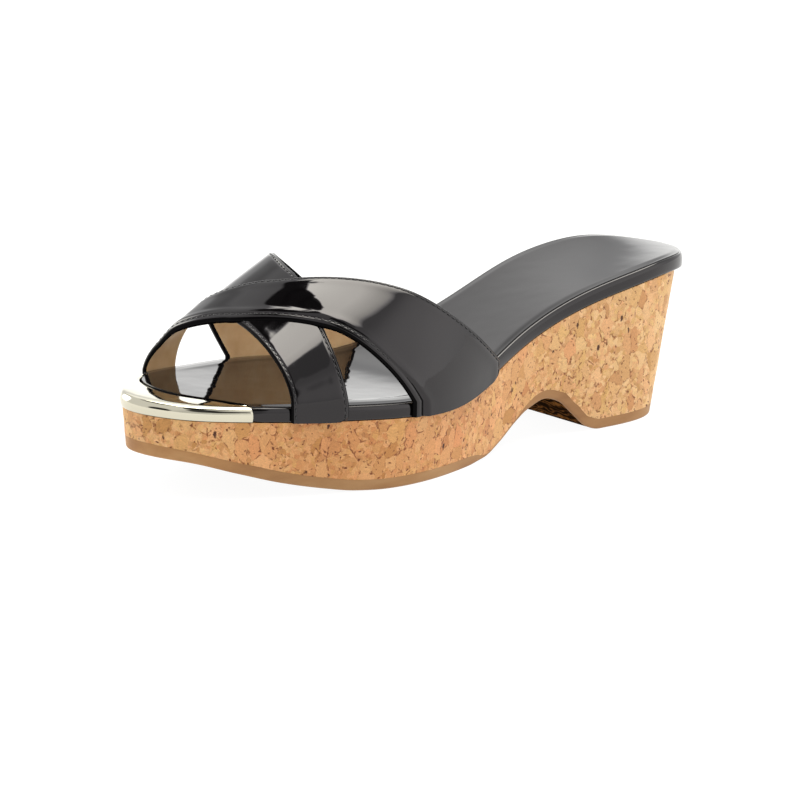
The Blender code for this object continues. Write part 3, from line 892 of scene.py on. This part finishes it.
WIDE = strap_drawing(          # in each pair, the front edge's value comes first
    "wide_strap",
    # degrees round the instep, then where the front and rear edges lie from the heel
    edges=((0, 165, 114.5), (45, 189.3, 159.8), (90, 208.4, 188.7), (135, 215.5, 198.6),
           (180, 219.5, 202)),
    # row, its slant, share of the width, radii before, after and across, and height
    swells=((61, 46, 0.20, 26, 9, 0.60, 0.95),),
    seam_starts=(30, 3),       # rows without stitches at the outer foot
    sewn_faces=(False,),       # stitches show outside only, and not on the lining
    lift=1.8,                  # it rides over the narrow strap
    seams=(2.7, 1.6),          # from the edge
    folds=((1.9, 1.5), (1.0, 0.8)),            # width and drop of the rounded edges
    bulges=(0.95, 0.3),        # the turned-in leather thickens the inside
    pillows=(0.25, 0.10),      # and the leather swells just inside the seam
    widening=2.0,              # near the outer foot the front margin widens
    crease=1.1,                # and folds along a deeper crease
    # the black edge paint is partly real and partly painted shade for dark reflections at the edge
    painted=(1.5, 0.9),        # width of the black edge paint
    margins=(1.9, 0.5),        # patent leather that shows inside
)
NARROW = strap_drawing(
    "narrow_strap",
    edges=((0, 210.5, 190.5), (45, 209.5, 190.5), (90, 205.6, 180.8), (135, 195.8, 161),
           (180, 177.5, 124.5)),
    swells=((30, 0, 0.95, 20, 22, 0.50, 0.30),), seam_starts=(3, 3), sewn_faces=(False, True),
    lift=0.0, seams=(1.5, 1.5), folds=((1.0, 0.8), (1.0, 0.8)), bulges=(0.6, 0.45),
    pillows=(0.04, 0.04), widening=0.0, crease=0.0, painted=(0.8, 0.5), margins=(1.9, 1.2),
)
print("the straps cross from", CROSSING_STARTS, "to", CROSSING_ENDS, "degrees round the instep")

# %% The two ribbons on the instep
def instep_point(place, angle, lift):
    """A strap's outer face at an angle round the instep, raised by a lift."""
    reach = 1.0 * MM
    ends = []
    for side, outward in (("lateral", 1), ("medial", -1)):
        before, across, after = (side_point(side, place + step)[0] for step in (-reach, 0, reach))
        slope = (after - before) / (2 * reach)
        ends.append(across + outward * STRAP_PROUD * np.sqrt(1 + slope ** 2))
    middle = (ends[0] + ends[1]) / 2
    half_width = (ends[0] - ends[1]) / 2 + lift
    cosine = np.cos(angle)
    across_share = np.sign(cosine) * np.abs(cosine) ** (2 / STRAP_ACROSS_POWER)
    up_share = np.abs(np.sin(angle)) ** (2 / STRAP_UP_POWER)
    ridge_shift = -RIDGE_SHIFT + RIDGE_SHIFT_PER_METRE * (place - RIDGE_SHIFT_FROM)
    across = middle + half_width * across_share + ridge_shift * up_share ** RIDGE_SHIFT_POWER
    height = seat(place) + STRAP_BEND + (ridge(place) - STRAP_BEND + lift) * up_share
    return np.stack([across, place, height], axis=-1)


def strap_point(strap, row, share):
    """Outer face of a strap: row runs from its outer foot to its inner foot."""
    degrees, front, rear = np.array(strap.edges, float).T
    angle = np.clip((row - LEG_ROWS) / ARCH_ROWS, 0, 1) * HALF_TURN
    front, rear = (smooth_curve(degrees, edge * MM)(angle) for edge in (front, rear))
    below = np.maximum(LEG_ROWS - row, row - LEG_ROWS - ARCH_ROWS) / LEG_ROWS
    drop = (STRAP_BEND - STRAP_FOOT) * np.clip(below, 0, 1)
    over_foot = STRAP_BEND - STRAP_FOOT - drop
    lack = np.maximum(FOOT_CORNER - over_foot, 0)
    corner = FOOT_CORNER - np.sqrt(FOOT_CORNER ** 2 - lack ** 2)
    rear = rear + np.where(below > 0, corner, 0)
    place = front * (1 - share) + rear * share
    rise = ease((angle - CROSSING_STARTS) / CROSSING_RAMP + 1)
    fall = ease((CROSSING_ENDS - angle) / CROSSING_RAMP + 1)
    point = instep_point(place, np.radians(angle), strap.lift * rise * fall)
    point[..., 2] -= drop
    return point


narrow_crown = strap_point(NARROW, np.array(LEG_ROWS + ARCH_ROWS / 2), 0.5)
print("the narrow strap's crown stands", round(float(narrow_crown[2]) / MM, 1), "mm high")

# %% The section of a ribbon: folded edges, stitch groove and flat inside
PATENT, LINING, EDGE = 0, 1, 2     # material slots of a strap: finishes of its faces
INNER_FOLD = (0.7 * MM, 0.75 * MM)
GROOVE_DEPTH = 0.26 * MM
GROOVE_WIDTH = 0.36 * MM
MARGIN_DROP = 0.4 * MM        # between the seam and the fold the leather slopes down
PILLOW_PLACE = 2.0 * MM
PILLOW_WIDTH = 1.5 * MM
FOOT_ROWS = 34                # the rows in which the front margin widens at the outer foot
CREASE_ROWS = 0.8 * FOOT_ROWS
# painted shade: a strip of edge paint along the deep crease at the outer foot
CREASE_PAINTED_SHADE = 0.3 * MM
BULGE_WIDTH = 1.6 * MM        # at least
OUTER_STEPS = (0, 0.03, 0.12, 0.28, 0.5, 0.75, 1)      # shares of the fold's width
SEAM_STEPS = np.array([-0.4, -0.25, -0.1, 0, 0.1, 0.25, 0.4, 0.6, 0.9, 1.5, 2.4, 3.4]) * MM
SEAM_CLEARANCE = 0.5 * MM     # a fold ends at least this far before the seam
MIDDLE_STEPS = 16
INNER_STEPS = (0, 0.1, 0.35, 1)
INNER_FOLD_PART = 0.7         # of the margin, at most
HAIR = 0.01 * MM              # settles on which side of a border its own column lies


def quarter_round(distance, fold):
    """How far a rounded edge falls away, at a distance in from the edge."""
    side, depth = fold
    inward = np.clip(1 - distance / side, 0, 1)
    return depth * (1 - np.sqrt(1 - inward ** 2))


def outer_relief(distance, seam, fold, swell, crease=0.0):
    """Height of the outer face over the plain ribbon, from the distance to one edge."""
    beside = distance - seam
    groove = (GROOVE_DEPTH + crease) * np.exp(-(beside / (GROOVE_WIDTH + crease)) ** 2)
    margin = MARGIN_DROP * ease(-beside / seam)
    pillow = swell * np.exp(-((beside - PILLOW_PLACE) / PILLOW_WIDTH) ** 2)
    return pillow - groove - margin - quarter_round(distance, fold)


def swelling(strap, share):
    """Soft rises where the hand has bent the leather."""
    height = np.zeros(np.shape(share))
    for row, slant, middle, before, after, shares, rise in strap.swells:
        along = STRAP_ROWS[:, None] - row - slant * (share - middle)
        along = along / np.where(along < 0, before, after)
        height += rise * MM * np.exp(-along ** 2 - ((share - middle) / shares) ** 2)
    return height


print("one seam is drawn with", len(SEAM_STEPS), "columns")

# %% The whole section, row by row
def ribbon_width(strap):
    """The ribbon's width at each row, measured over the curve."""
    points = strap_point(strap, STRAP_ROWS[:, None], np.linspace(0, 1, 9))
    return np.linalg.norm(np.diff(points, axis=1), axis=2).sum(axis=1)


def front_seam(strap):
    """The front seam's distance from the edge, row by row."""
    return strap.seams[0] + strap.widening * ease(1 - STRAP_ROWS / FOOT_ROWS)


def outward_normals(grid):
    """Unit normals of a grid of points, pointing away from the foot."""
    normal = np.cross(np.gradient(grid, axis=0), np.gradient(grid, axis=1))
    normal /= np.linalg.norm(normal, axis=2, keepdims=True)
    centre = grid.mean(axis=(0, 1))
    centre[2] = grid[..., 2].min()
    return normal if ((grid - centre) * normal).sum() > 0 else -normal


def spread(front, rear, width):
    """Distances from the front edge: crowded near both edges, even between them."""
    steps = np.linspace(0, 1, MIDDLE_STEPS + 1)[1:-1]
    start, end = front[:, -1:], width - rear[:, -1:]
    return np.concatenate([front, start + (end - start) * steps, width - rear[:, ::-1]], axis=1)


def ribbon_loop(strap):
    """Points of the whole section at each row: over the outer face, then back inside."""
    rows = STRAP_ROWS[:, None]
    width = ribbon_width(strap)[:, None]
    every_row = np.ones_like(width)
    seams = front_seam(strap)[:, None], every_row * strap.seams[1]
    near, turned_in = [], []
    for seam, (side, _), margin in zip(seams, strap.folds, strap.margins):
        fold = min(side, strap.seams[1] - SEAM_CLEARANCE)
        near.append(np.concatenate([every_row * np.array(OUTER_STEPS) * fold,
                                    seam + SEAM_STEPS], axis=1))
        inner_fold = min(INNER_FOLD[0], INNER_FOLD_PART * margin)
        turned_in.append(every_row * np.append(np.array(INNER_STEPS) * inner_fold, margin))
    outer, inner = spread(*near, width), spread(*turned_in, width)
    distance = np.concatenate([outer, inner[:, ::-1]], axis=1)
    surface = strap_point(strap, rows, distance / width)
    over, under = (outward_normals(strap_point(strap, rows, face / width))
                   for face in (outer, inner))
    normal = np.concatenate([over, under[:, ::-1]], axis=1)

    from_rear = width - distance
    crease = strap.crease * ease(1 - rows / CREASE_ROWS)
    relief = outer_relief(distance, seams[0], strap.folds[0], strap.pillows[0], crease)
    relief = relief + outer_relief(from_rear, seams[1], strap.folds[1], strap.pillows[1])
    in_front = distance < from_rear
    nearer = np.minimum(distance, from_rear)
    margin, bulge, painted = (np.where(in_front, *pair)
                              for pair in (strap.margins, strap.bulges, strap.painted))
    bulge = bulge * ease(1 - nearer / np.maximum(margin, BULGE_WIDTH))
    inside = quarter_round(nearer, INNER_FOLD) - STRAP_WALL - bulge
    is_outer = np.arange(distance.shape[1]) < outer.shape[1]
    height = np.where(is_outer, relief, inside) + swelling(strap, distance / width)

    # edge paint on the edges and turned-in margins is partly real, partly painted shade for dark
    # reflections there; the strip along the crease is painted shade
    lined = ~is_outer & (nearer > margin - HAIR)
    crease_shade = np.abs(distance - seams[0]) < CREASE_PAINTED_SHADE * ease(2 * crease / MM)
    inked_or_shaded = ~is_outer | (nearer < painted + HAIR) | crease_shade
    finish = np.where(lined, LINING, np.where(inked_or_shaded, EDGE, PATENT))
    return surface + normal * height[..., None], finish


print("the narrow strap is", round(float(ribbon_width(NARROW)[0]) / MM, 1), "mm wide at its foot")

# %% The two straps
UNDER_INSTEP = (0.0, ORIGIN_FROM_HEEL - 170 * MM, 30 * MM)
MELT_DISTANCE = 0.002 * MM    # points that share a place are melted into one


def model_strap(strap):
    loop, finish = (np.concatenate([grid, grid[:, :1]], axis=1) for grid in ribbon_loop(strap))
    piece = grid_piece(strap.name, loop, UNDER_INSTEP)
    one, other = finish[:-1, :-1], finish[:-1, 1:]
    either_lined = (one == LINING) | (other == LINING)
    shared = np.where(one == other, one, np.where(either_lined, EDGE, PATENT))
    for _ in (PATENT, LINING, EDGE):
        piece.data.materials.append(None)
    piece.data.polygons.foreach_set("material_index", shared.ravel().astype(np.int32))
    in_edit_mode(piece, lambda: bpy.ops.mesh.remove_doubles(threshold=MELT_DISTANCE),
                 lambda: bpy.ops.mesh.select_all(action="DESELECT"),
                 bpy.ops.mesh.select_non_manifold, bpy.ops.mesh.edge_face_add)
    face_outwards(piece)
    smooth_off(piece, sharp_degrees=50)
    return piece


narrow_strap, wide_strap = model_strap(NARROW), model_strap(WIDE)
print("straps:", triangles(narrow_strap), "and", triangles(wide_strap), "triangles")

# %% [markdown]
# ## The stitching
#
# A row of black thread runs just inside each edge. One stitch is modelled, a small bead
# drawn out along the seam and flattened, and Array repeats it along a guide line that the
# Curve modifier bends it to. On the narrow strap the thread shows on the lining too; the
# wide strap is lined after sewing.

# %% One stitch, repeated along each seam
STITCH_PITCH = 2.6 * MM
STITCH_SIZE = (1.7 * MM, 0.6 * MM, 0.5 * MM)      # along the seam, across it, and up
BESIDE_SEAM = np.array([[-0.5], [0], [0.5]]) * MM
STITCH_SINK = 0.6 * GROOVE_DEPTH
ROWS_PAST_END = 3             # without stitches at the inner foot


def seam_line(strap, from_front, inside):
    """Points along a stitch row on the outer face, or on the lining."""
    seam = front_seam(strap) if from_front else strap.seams[1]
    share = (seam + BESIDE_SEAM).T / ribbon_width(strap)[:, None]
    if not from_front:
        share = 1 - share
    grid = strap_point(strap, STRAP_ROWS[:, None], share)
    height = swelling(strap, share)[..., None] - (STRAP_WALL if inside else STITCH_SINK)
    line = (grid + outward_normals(grid) * height)[:, 1]
    return line[strap.seam_starts[0 if from_front else 1]:-ROWS_PAST_END]


def guide_curve(line):
    """A curve through the points of a line."""
    curve = bpy.data.curves.new("seam_guide", "CURVE")
    curve.dimensions = "3D"
    spline = curve.splines.new("POLY")
    spline.points.add(len(line) - 1)
    spline.points.foreach_set("co", np.insert(to_frame(line), 3, 1.0, axis=1).ravel())
    guide = bpy.data.objects.new("seam_guide", curve)
    bpy.context.collection.objects.link(guide)
    return guide


def sew(line):
    """One stitch arrayed along a line."""
    bpy.ops.mesh.primitive_uv_sphere_add(segments=8, ring_count=6, radius=0.5)
    row = bpy.context.object
    in_edit_mode(row, lambda: bpy.ops.transform.rotate(value=math.pi / 2, orient_axis="Y",
                                                       center_override=(0, 0, 0)),
                 lambda: bpy.ops.transform.resize(value=STITCH_SIZE))
    guide = guide_curve(line)
    length = np.linalg.norm(np.diff(line, axis=0), axis=1).sum()
    add_modifier(row, "ARRAY", count=int(length / STITCH_PITCH), use_relative_offset=False,
                 use_constant_offset=True, constant_offset_displace=(STITCH_PITCH, 0, 0))
    add_modifier(row, "CURVE", object=guide, deform_axis="POS_X")
    bpy.data.objects.remove(guide)
    return row


def stitch_straps():
    """All stitch rows of both straps, joined into one piece."""
    rows = [sew(seam_line(strap, from_front, inside)) for strap in (NARROW, WIDE)
            for from_front in (True, False) for inside in strap.sewn_faces]
    choose(*rows)
    bpy.ops.object.join()
    rows[0].name = "strap_stitching"
    smooth_off(rows[0], sharp_degrees=80)
    return rows[0]


stitching = stitch_straps()
print("stitching:", triangles(stitching), "triangles")

# %% [markdown]
# ## Agglomerated cork
#
# Wedge cork is pressed from granules of ground bark, two to five millimetres across. Each
# granule has its own tan and its own grain direction, and brown specks of outer bark and
# open pores lie between them. A cell texture with bent coordinates gives the granules, and
# each cell's random colour then picks its tan and turns its grain. A clear lacquer leaves a
# slight sheen.

# %% Patterns that the finishes share
def patterned(finish, draw, depth=0.0):
    """Give a material a pattern and return it.

    The pattern is drawn in object coordinates counted in millimetres, as a colour and a
    height, or None for either; a height of 1 stands out by the depth.
    """
    tree = finish.node_tree
    shader = tree.nodes["Principled BSDF"]
    place = add_node(tree, "TexCoord")["Object"]
    space = add_node(tree, "VectorMath", {0: place, "Scale": 1 / MM}, operation="SCALE")[0]
    colour, height = draw(tree, space)
    if colour is not None:
        fill_inputs(shader, {"Base Color": colour})
    if height is not None:
        relief = add_node(tree, "Bump", {"Distance": depth, "Height": height})[0]
        fill_inputs(shader, {"Normal": relief})
    return finish


def shifted(tree, space, size, amount):
    """Coordinates pushed about by a noise, so that borders wander; both lengths in mm."""
    noise = add_node(tree, "TexNoise", {"Vector": space, "Scale": 1 / size, "Detail": 3.0,
                                        "Roughness": 0.6})["Color"]
    centred = add_node(tree, "VectorMath", (noise, (0.5, 0.5, 0.5)), operation="SUBTRACT")[0]
    shift = add_node(tree, "VectorMath", {0: centred, "Scale": amount}, operation="SCALE")[0]
    return add_node(tree, "VectorMath", (space, shift), operation="ADD")[0]


def shaded(tree, colour, guide, low, high, before, after):
    """A colour made darker or paler by a factor that changes between two values of a guide."""
    factor = add_node(tree, "MapRange", (guide, low, high, before, after))[0]
    return add_node(tree, "VectorMath", {0: colour, "Scale": factor}, operation="SCALE")[0]


def spots(tree, space, stretch, size, kept, radius, softness):
    """Drawn-out spots in some cells of a pattern: the share kept, and the largest radius."""
    tall = add_node(tree, "Mapping", {"Vector": space, "Scale": (1, 1, stretch)})[0]
    cell = add_node(tree, "TexVoronoi", {"Vector": tall, "Scale": 1 / size})
    dice = add_node(tree, "SeparateColor", (cell["Color"],))["Red"]
    reach = add_node(tree, "MapRange", (dice, 1 - kept, 1.0, 0.0, radius))[0]
    edge = add_node(tree, "Math", (reach, cell["Distance"]), operation="SUBTRACT")[0]
    return add_node(tree, "MapRange", (edge, -softness / 4, softness))[0]


def clouded(tree, space, size, detail, tones):
    """A colour that drifts between a few tones, in clouds of a size in mm."""
    clouds = add_node(tree, "TexNoise", {"Vector": space, "Scale": 1 / size,
                                         "Detail": detail})["Fac"]
    return add_node(tree, "ValToRGB", (clouds,), tones)[0]


print("patterns are drawn with", round(1 / MM), "units to the metre")

# %% Cork: granules, grain, cracks, specks and pores
GRANULE_MM = 4.4
GRANULE_STRETCH = 0.66        # granules stand taller than wide, so the pattern is squeezed
CHIP_MM = 1.7
EDGE_WOBBLE_MM = 2.3
WOBBLE_SIZE_MM = 2.4
RAGGED_SIZE_MM = 0.7
GRAIN_MM = 0.34
GRAIN_STRETCH = 0.16
GRAIN_TURN = 6.28             # radians, at most
GRAIN_TINT = (0.3, 0.7, 0.78, 1.12)        # from and to, of the noise and of the tint
OPEN_PATCHES_PER_MM = 0.42
OPEN_PATCHES = (0.50, 0.62)
CRACK_WIDTH = (0.015, 0.06, 1.0, 0.0)      # from a granule's border: from, to, and shares
SPECK_MM = 1.2
SPECK_STRETCH = 0.45
SPECKS = (0.62, 0.42, 0.10)   # share of the cells, largest radius and softness
SPECK_CROWDS_PER_MM = 0.30
SPECK_CROWDS = (0.36, 0.56, 0.15, 1.0)
PORE_MM = 4.6
PORE_STRETCH = 0.55
PORES = (0.8, 0.17, 0.04)
GRANULE_STEP_MM = 0.06
GRAIN_STEP_MM = 0.035
HOLES = (("#86502A", 0.07), ("#723E1A", 0.08), ("#4E2A14", 0.25))   # colour and depth in mm
SHOE_END_MM = 125.0
CORK_TANS = ((0.0, "#C29462"), (0.10, "#CDA070"), (0.34, "#D6AC7A"), (0.60, "#DEB787"),
             (0.84, "#E6C294"), (1.0, "#D8A878"))
CORK_PLACES = ((0.02, "#FFF4E6"), (0.22, "#E9D1B9"), (0.45, "#EFDCCA"), (0.8, "#F7F5F2"))
CORK_HUES = ((0.0, "#F6EFD0"), (0.35, "#FCF7EC"), (0.65, "#FFF8F2"), (1.0, "#FFECE0"))


def draw_cork(tree, space):
    bent = shifted(tree, space, WOBBLE_SIZE_MM, EDGE_WOBBLE_MM)
    ragged = shifted(tree, bent, RAGGED_SIZE_MM, RAGGED_SIZE_MM)
    tall = add_node(tree, "Mapping", {"Vector": bent, "Scale": (1, 1, GRANULE_STRETCH)})[0]
    cells = {"Vector": tall, "Scale": 1 / GRANULE_MM}
    granule = add_node(tree, "TexVoronoi", cells)["Color"]
    border = add_node(tree, "TexVoronoi", cells, feature="DISTANCE_TO_EDGE")["Distance"]
    chip = add_node(tree, "TexVoronoi", {"Vector": ragged, "Scale": 1 / CHIP_MM})["Color"]

    # the tan and the hue of each granule, with some granules broken into smaller chips
    whole_dice, chip_dice = (add_node(tree, "SeparateColor", (cell,)) for cell in (granule, chip))
    broken = add_node(tree, "Math", (whole_dice["Green"], 0.5), operation="GREATER_THAN")[0]
    tan, hue = (add_node(tree, "Mix", {0: broken, 2: whole_dice[channel], 3: chip_dice[channel]},
                         data_type="FLOAT")[0] for channel in ("Red", "Blue"))
    tans = add_node(tree, "ValToRGB", (tan,), CORK_TANS)[0]
    hues = add_node(tree, "ValToRGB", (hue,), CORK_HUES)[0]
    colour = add_node(tree, "VectorMath", (tans, hues), operation="MULTIPLY")[0]

    # grain: fine streaks, turned a different way in each granule
    angles = add_node(tree, "VectorMath", {0: granule, "Scale": GRAIN_TURN}, operation="SCALE")[0]
    turned = add_node(tree, "VectorRotate", {"Vector": ragged, "Rotation": angles},
                      rotation_type="EULER_XYZ")[0]
    streaks = add_node(tree, "Mapping", {"Vector": turned, "Scale": (1, 1, GRAIN_STRETCH)})[0]
    grain = add_node(tree, "TexNoise", {"Vector": streaks, "Scale": 1 / GRAIN_MM,
                                        "Detail": 2.0})["Fac"]
    colour = shaded(tree, colour, grain, *GRAIN_TINT)

    # cracks: the border between granules, only here and there
    patches = add_node(tree, "TexNoise", {"Vector": space, "Scale": OPEN_PATCHES_PER_MM,
                                          "Detail": 3.0})["Fac"]
    open_here = add_node(tree, "MapRange", (patches, *OPEN_PATCHES))[0]
    thin = add_node(tree, "MapRange", (border, *CRACK_WIDTH))[0]
    crack = add_node(tree, "Math", (open_here, thin), operation="MULTIPLY")[0]

    # specks of bark: short dark dashes along each granule's grain, close together in places
    dashes = spots(tree, turned, SPECK_STRETCH, SPECK_MM, *SPECKS)
    crowds = add_node(tree, "TexNoise", {"Vector": bent, "Scale": SPECK_CROWDS_PER_MM,
                                         "Detail": 2.0})["Fac"]
    crowded = add_node(tree, "MapRange", (crowds, *SPECK_CROWDS))[0]
    speck = add_node(tree, "Math", (dashes, crowded), operation="MULTIPLY")[0]

    # pores are a few larger holes; each kind of hole is dark and goes in
    pore = spots(tree, ragged, PORE_STRETCH, PORE_MM, *PORES)
    height = add_node(tree, "Math", (tan, GRANULE_STEP_MM), operation="MULTIPLY")[0]
    height = add_node(tree, "Math", (grain, GRAIN_STEP_MM, height), operation="MULTIPLY_ADD")[0]
    for hole, (code, depth) in zip((crack, speck, pore), HOLES):
        colour = add_node(tree, "Mix", {0: hole, 6: colour, 7: hex_colour(code)},
                          data_type="RGBA")[2]
        height = add_node(tree, "Math", (hole, -depth, height), operation="MULTIPLY_ADD")[0]

    # the forefoot's bark is redder than the heel's, and the toe is paler
    along = add_node(tree, "SeparateXYZ", (space,))["Y"]
    heelward = add_node(tree, "MapRange", (along, -SHOE_END_MM, SHOE_END_MM))[0]
    warmth = add_node(tree, "ValToRGB", (heelward,), CORK_PLACES)[0]
    colour = add_node(tree, "VectorMath", (colour, warmth), operation="MULTIPLY")[0]
    return colour, height


cork = patterned(new_material("pressed_cork_lacquered", Roughness=0.55, IOR=1.42), draw_cork, MM)
wedge.data.materials.append(cork)
print("cork nodes:", len(cork.node_tree.nodes))

# %% [markdown]
# ## Rubber for the outsole
#
# The sole sheet is moulded rubber in the brown of natural crepe. Its edge is sanded matt,
# with faint long clouds from the sanding. The tread isn't sanded and has a fine pattern of
# wavy ridges, which is far too small to model; it is painted dark brown and given no shine,
# as painted shade for the shadow under the arch and heel.

# %% Brown sole rubber
RUBBER_CLOUD_MM = 14.0
RUBBER_GRAIN_MM = 0.6
RUBBER_GRAIN_DEPTH = 0.03 * MM
RUBBER_STRETCH = (1, 0.35, 1.6)
RUBBER_TONES = ((0.3, "#865A2F"), (0.5, "#976C3E"), (0.7, "#A37B4E"))
RIDGE_PITCH_MM = 2.4
RIDGE_HEIGHT = 0.35 * MM
BLOTCH_MM = 5.0
TOE_PALING = (-SHOE_END_MM, -85.0, 1.35, 1.0)     # palest at the toe
# painted shade: the tread's dark browns stand for the shadow under the shoe
TREAD_SHADE_TONES = ((0.12, "#1A0F07"), (0.35, "#3F2612"), (0.6, "#6A4420"))


def draw_rubber(tree, space):
    drawn_out = add_node(tree, "Mapping", {"Vector": space, "Scale": RUBBER_STRETCH})[0]
    tone = clouded(tree, drawn_out, RUBBER_CLOUD_MM, 4.0, RUBBER_TONES)
    along = add_node(tree, "SeparateXYZ", (space,))["Y"]
    colour = shaded(tree, tone, along, *TOE_PALING)
    grit = add_node(tree, "TexNoise", {"Vector": space, "Scale": 1 / RUBBER_GRAIN_MM,
                                       "Detail": 2.0})["Fac"]
    return colour, grit


def draw_shaded_tread(tree, space):
    waves_per_mm = 1 / (3.18 * RIDGE_PITCH_MM)       # this texture has 3.18 waves in a unit
    ridges = add_node(tree, "TexWave", {"Vector": space, "Scale": waves_per_mm,
                                        "Distortion": 12.0, "Detail": 3.0, "Detail Scale": 1.2},
                      wave_type="BANDS", bands_direction="Y")["Fac"]
    blotches = add_node(tree, "TexNoise", {"Vector": space, "Scale": 1 / BLOTCH_MM,
                                           "Detail": 3.0})["Fac"]
    mixed = add_node(tree, "Math", (ridges, blotches), operation="MULTIPLY")[0]
    return add_node(tree, "ValToRGB", (mixed,), TREAD_SHADE_TONES)[0], ridges


outsole.data.materials.append(patterned(
    new_material("sanded_sole_rubber", Roughness=0.58, IOR=1.5), draw_rubber, RUBBER_GRAIN_DEPTH))
outsole.data.materials.append(patterned(
    new_material("tread_rubber_painted_shade", Roughness=0.8, Specular_IOR_Level=0.0),
    draw_shaded_tread, RIDGE_HEIGHT))
# the faces that look down take the tread rubber, painted dark as shade
under = read_values(outsole, "rise") == 0
sides = [all(under[i] for i in face.vertices) for face in outsole.data.polygons]
outsole.data.polygons.foreach_set("material_index", np.array(sides, np.int32))
print("tread faces:", sum(sides))

# %% [markdown]
# ## Black patent leather
#
# Patent leather is leather under a thick film of clear polyurethane, poured and cured flat.
# The film reflects like glass, about four parts in a hundred seen straight on and far more
# at a glancing angle. Stretched over a last it keeps very shallow waves, so that edges in
# the reflection wander. The waves are a soft bump; the roughness stays close to zero.

# %% Patent leather
WAVE_MM = 11.0
RIPPLE_MM = 2.4
RIPPLE_SHARE = 0.05
WAVE_DEPTH = 0.09 * MM


def draw_waves(tree, space):
    wave, ripple = (add_node(tree, "TexNoise", {"Vector": space, "Scale": 1 / size,
                                                "Detail": 1.0})["Fac"]
                    for size in (WAVE_MM, RIPPLE_MM))
    return None, add_node(tree, "Math", (ripple, RIPPLE_SHARE, wave), operation="MULTIPLY_ADD")[0]


patent, sock_patent = (
    patterned(new_material(name, Base_Color=hex_colour("#070607"), Roughness=0.045,
                           IOR=film_ior, Specular_Tint=hex_colour("#FFF9FB")),
              draw_waves, WAVE_DEPTH)
    for name, film_ior in (("black_patent_leather", 1.5), ("black_patent_sock_leather", 1.43)))
footbed.data.materials.append(patent)
sock.data.materials.append(sock_patent)       # its film is thinner
print("patent leather's waves are", WAVE_MM, "mm apart")

# %% [markdown]
# ## Tan lining, thread and gilt
#
# The straps are lined with thin tan leather, dyed and left matt, and painted a little darker
# near the footbed: painted shade, for the shadow that the lining lies in there. Their edges,
# their turned-in margins and a strip along the crease at the outer foot take black edge
# paint, which shines less than the patent: partly real edge paint, partly painted shade for
# the dark reflections along the folds. The thread is bonded polyester with a slight gloss.
# The toe plate is brass with a pale gilt flash, polished and pressed, so it is a metal
# mirror with a warm cast and faint waves.

# %% Lining leather
LINING_CLOUD_MM = 7.0
LINING_PORE_MM = 0.7
LINING_PORE_DEPTH = 0.03 * MM
LINING_TONES = ((0.3, "#E8BC8A"), (0.55, "#F2CA98"), (0.75, "#F9D6A8"))
# painted shade: the lining is made darker low down, near the footbed, where it lies in shadow
LINING_PAINTED_SHADE = (34.0, 54.0, 0.86, 1.0)       # from and to in mm of height, and the tints there


def draw_lining(tree, space):
    tone = clouded(tree, space, LINING_CLOUD_MM, 5.0, LINING_TONES)
    height = add_node(tree, "SeparateXYZ", (space,))["Z"]
    pores = add_node(tree, "TexVoronoi", {"Vector": space, "Scale": 1 / LINING_PORE_MM})
    # painted shade: the lining's tone is darkened low down
    return shaded(tree, tone, height, *LINING_PAINTED_SHADE), pores["Distance"]


finishes = {
    PATENT: patent,
    LINING: patterned(new_material("tan_lining_leather", Roughness=0.5, IOR=1.45),
                      draw_lining, LINING_PORE_DEPTH),
    # partly real edge paint, partly painted shade: it shines less, so edges, margins and crease
    # stay dark
    EDGE: new_material("black_edge_paint_and_painted_shade", Base_Color=hex_colour("#050405"), Roughness=0.25,
                       IOR=1.5, Specular_IOR_Level=0.04),
}
for strap in (narrow_strap, wide_strap):
    for number, finish in finishes.items():
        strap.data.materials[number] = finish
print("a strap's finishes:", [finish.name for finish in finishes.values()])

# %% Bonded thread and pale gilt
TWIST_MM = 0.4
DENT_MM = 7.0
DENT_DEPTH = 0.06 * MM
THREAD_TONES = ((0.35, "#121113"), (0.7, "#2A282B"))


def draw_thread(tree, space):
    return clouded(tree, space, TWIST_MM, 2.0, THREAD_TONES), None


def draw_gilt(tree, space):
    return None, add_node(tree, "TexNoise", {"Vector": space, "Scale": 1 / DENT_MM,
                                             "Detail": 2.0})["Fac"]


stitching.data.materials.append(patterned(
    new_material("bonded_black_thread", Roughness=0.16, IOR=1.5), draw_thread))
plate.data.materials.append(patterned(
    new_material("polished_pale_gilt", Base_Color=hex_colour("#D0CBB8"), Metallic=1.0,
                 Roughness=0.06), draw_gilt, DENT_DEPTH))
print("materials:", sorted(m.name for m in bpy.data.materials if m.users))

# %% [markdown]
# ## What each piece stands for
#
# Nothing on this sandal moves, so every piece rides on the one body of the frame. Each
# piece names the plain solid it stands for, which is hidden, and the slot its finish belongs
# to, which is not used here.

# %% Hand the pieces to the frame
ROLES = (
    (outsole, "outsole", "outsole"),
    (wedge, "wedge", "cork"),
    (footbed, "footbed", "footbed"),
    (sock, "sock", "sock"),
    (plate, "toe_plate", "toe_plate"),
    (wide_strap, "upper", "straps"),
    (narrow_strap, "upper", "straps"),
)
for piece, node, slot in ROLES:
    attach(piece, "root")
    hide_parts(node)
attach(stitching, "root")
print("pieces:", [piece.name for piece, node, slot in ROLES] + [stitching.name])
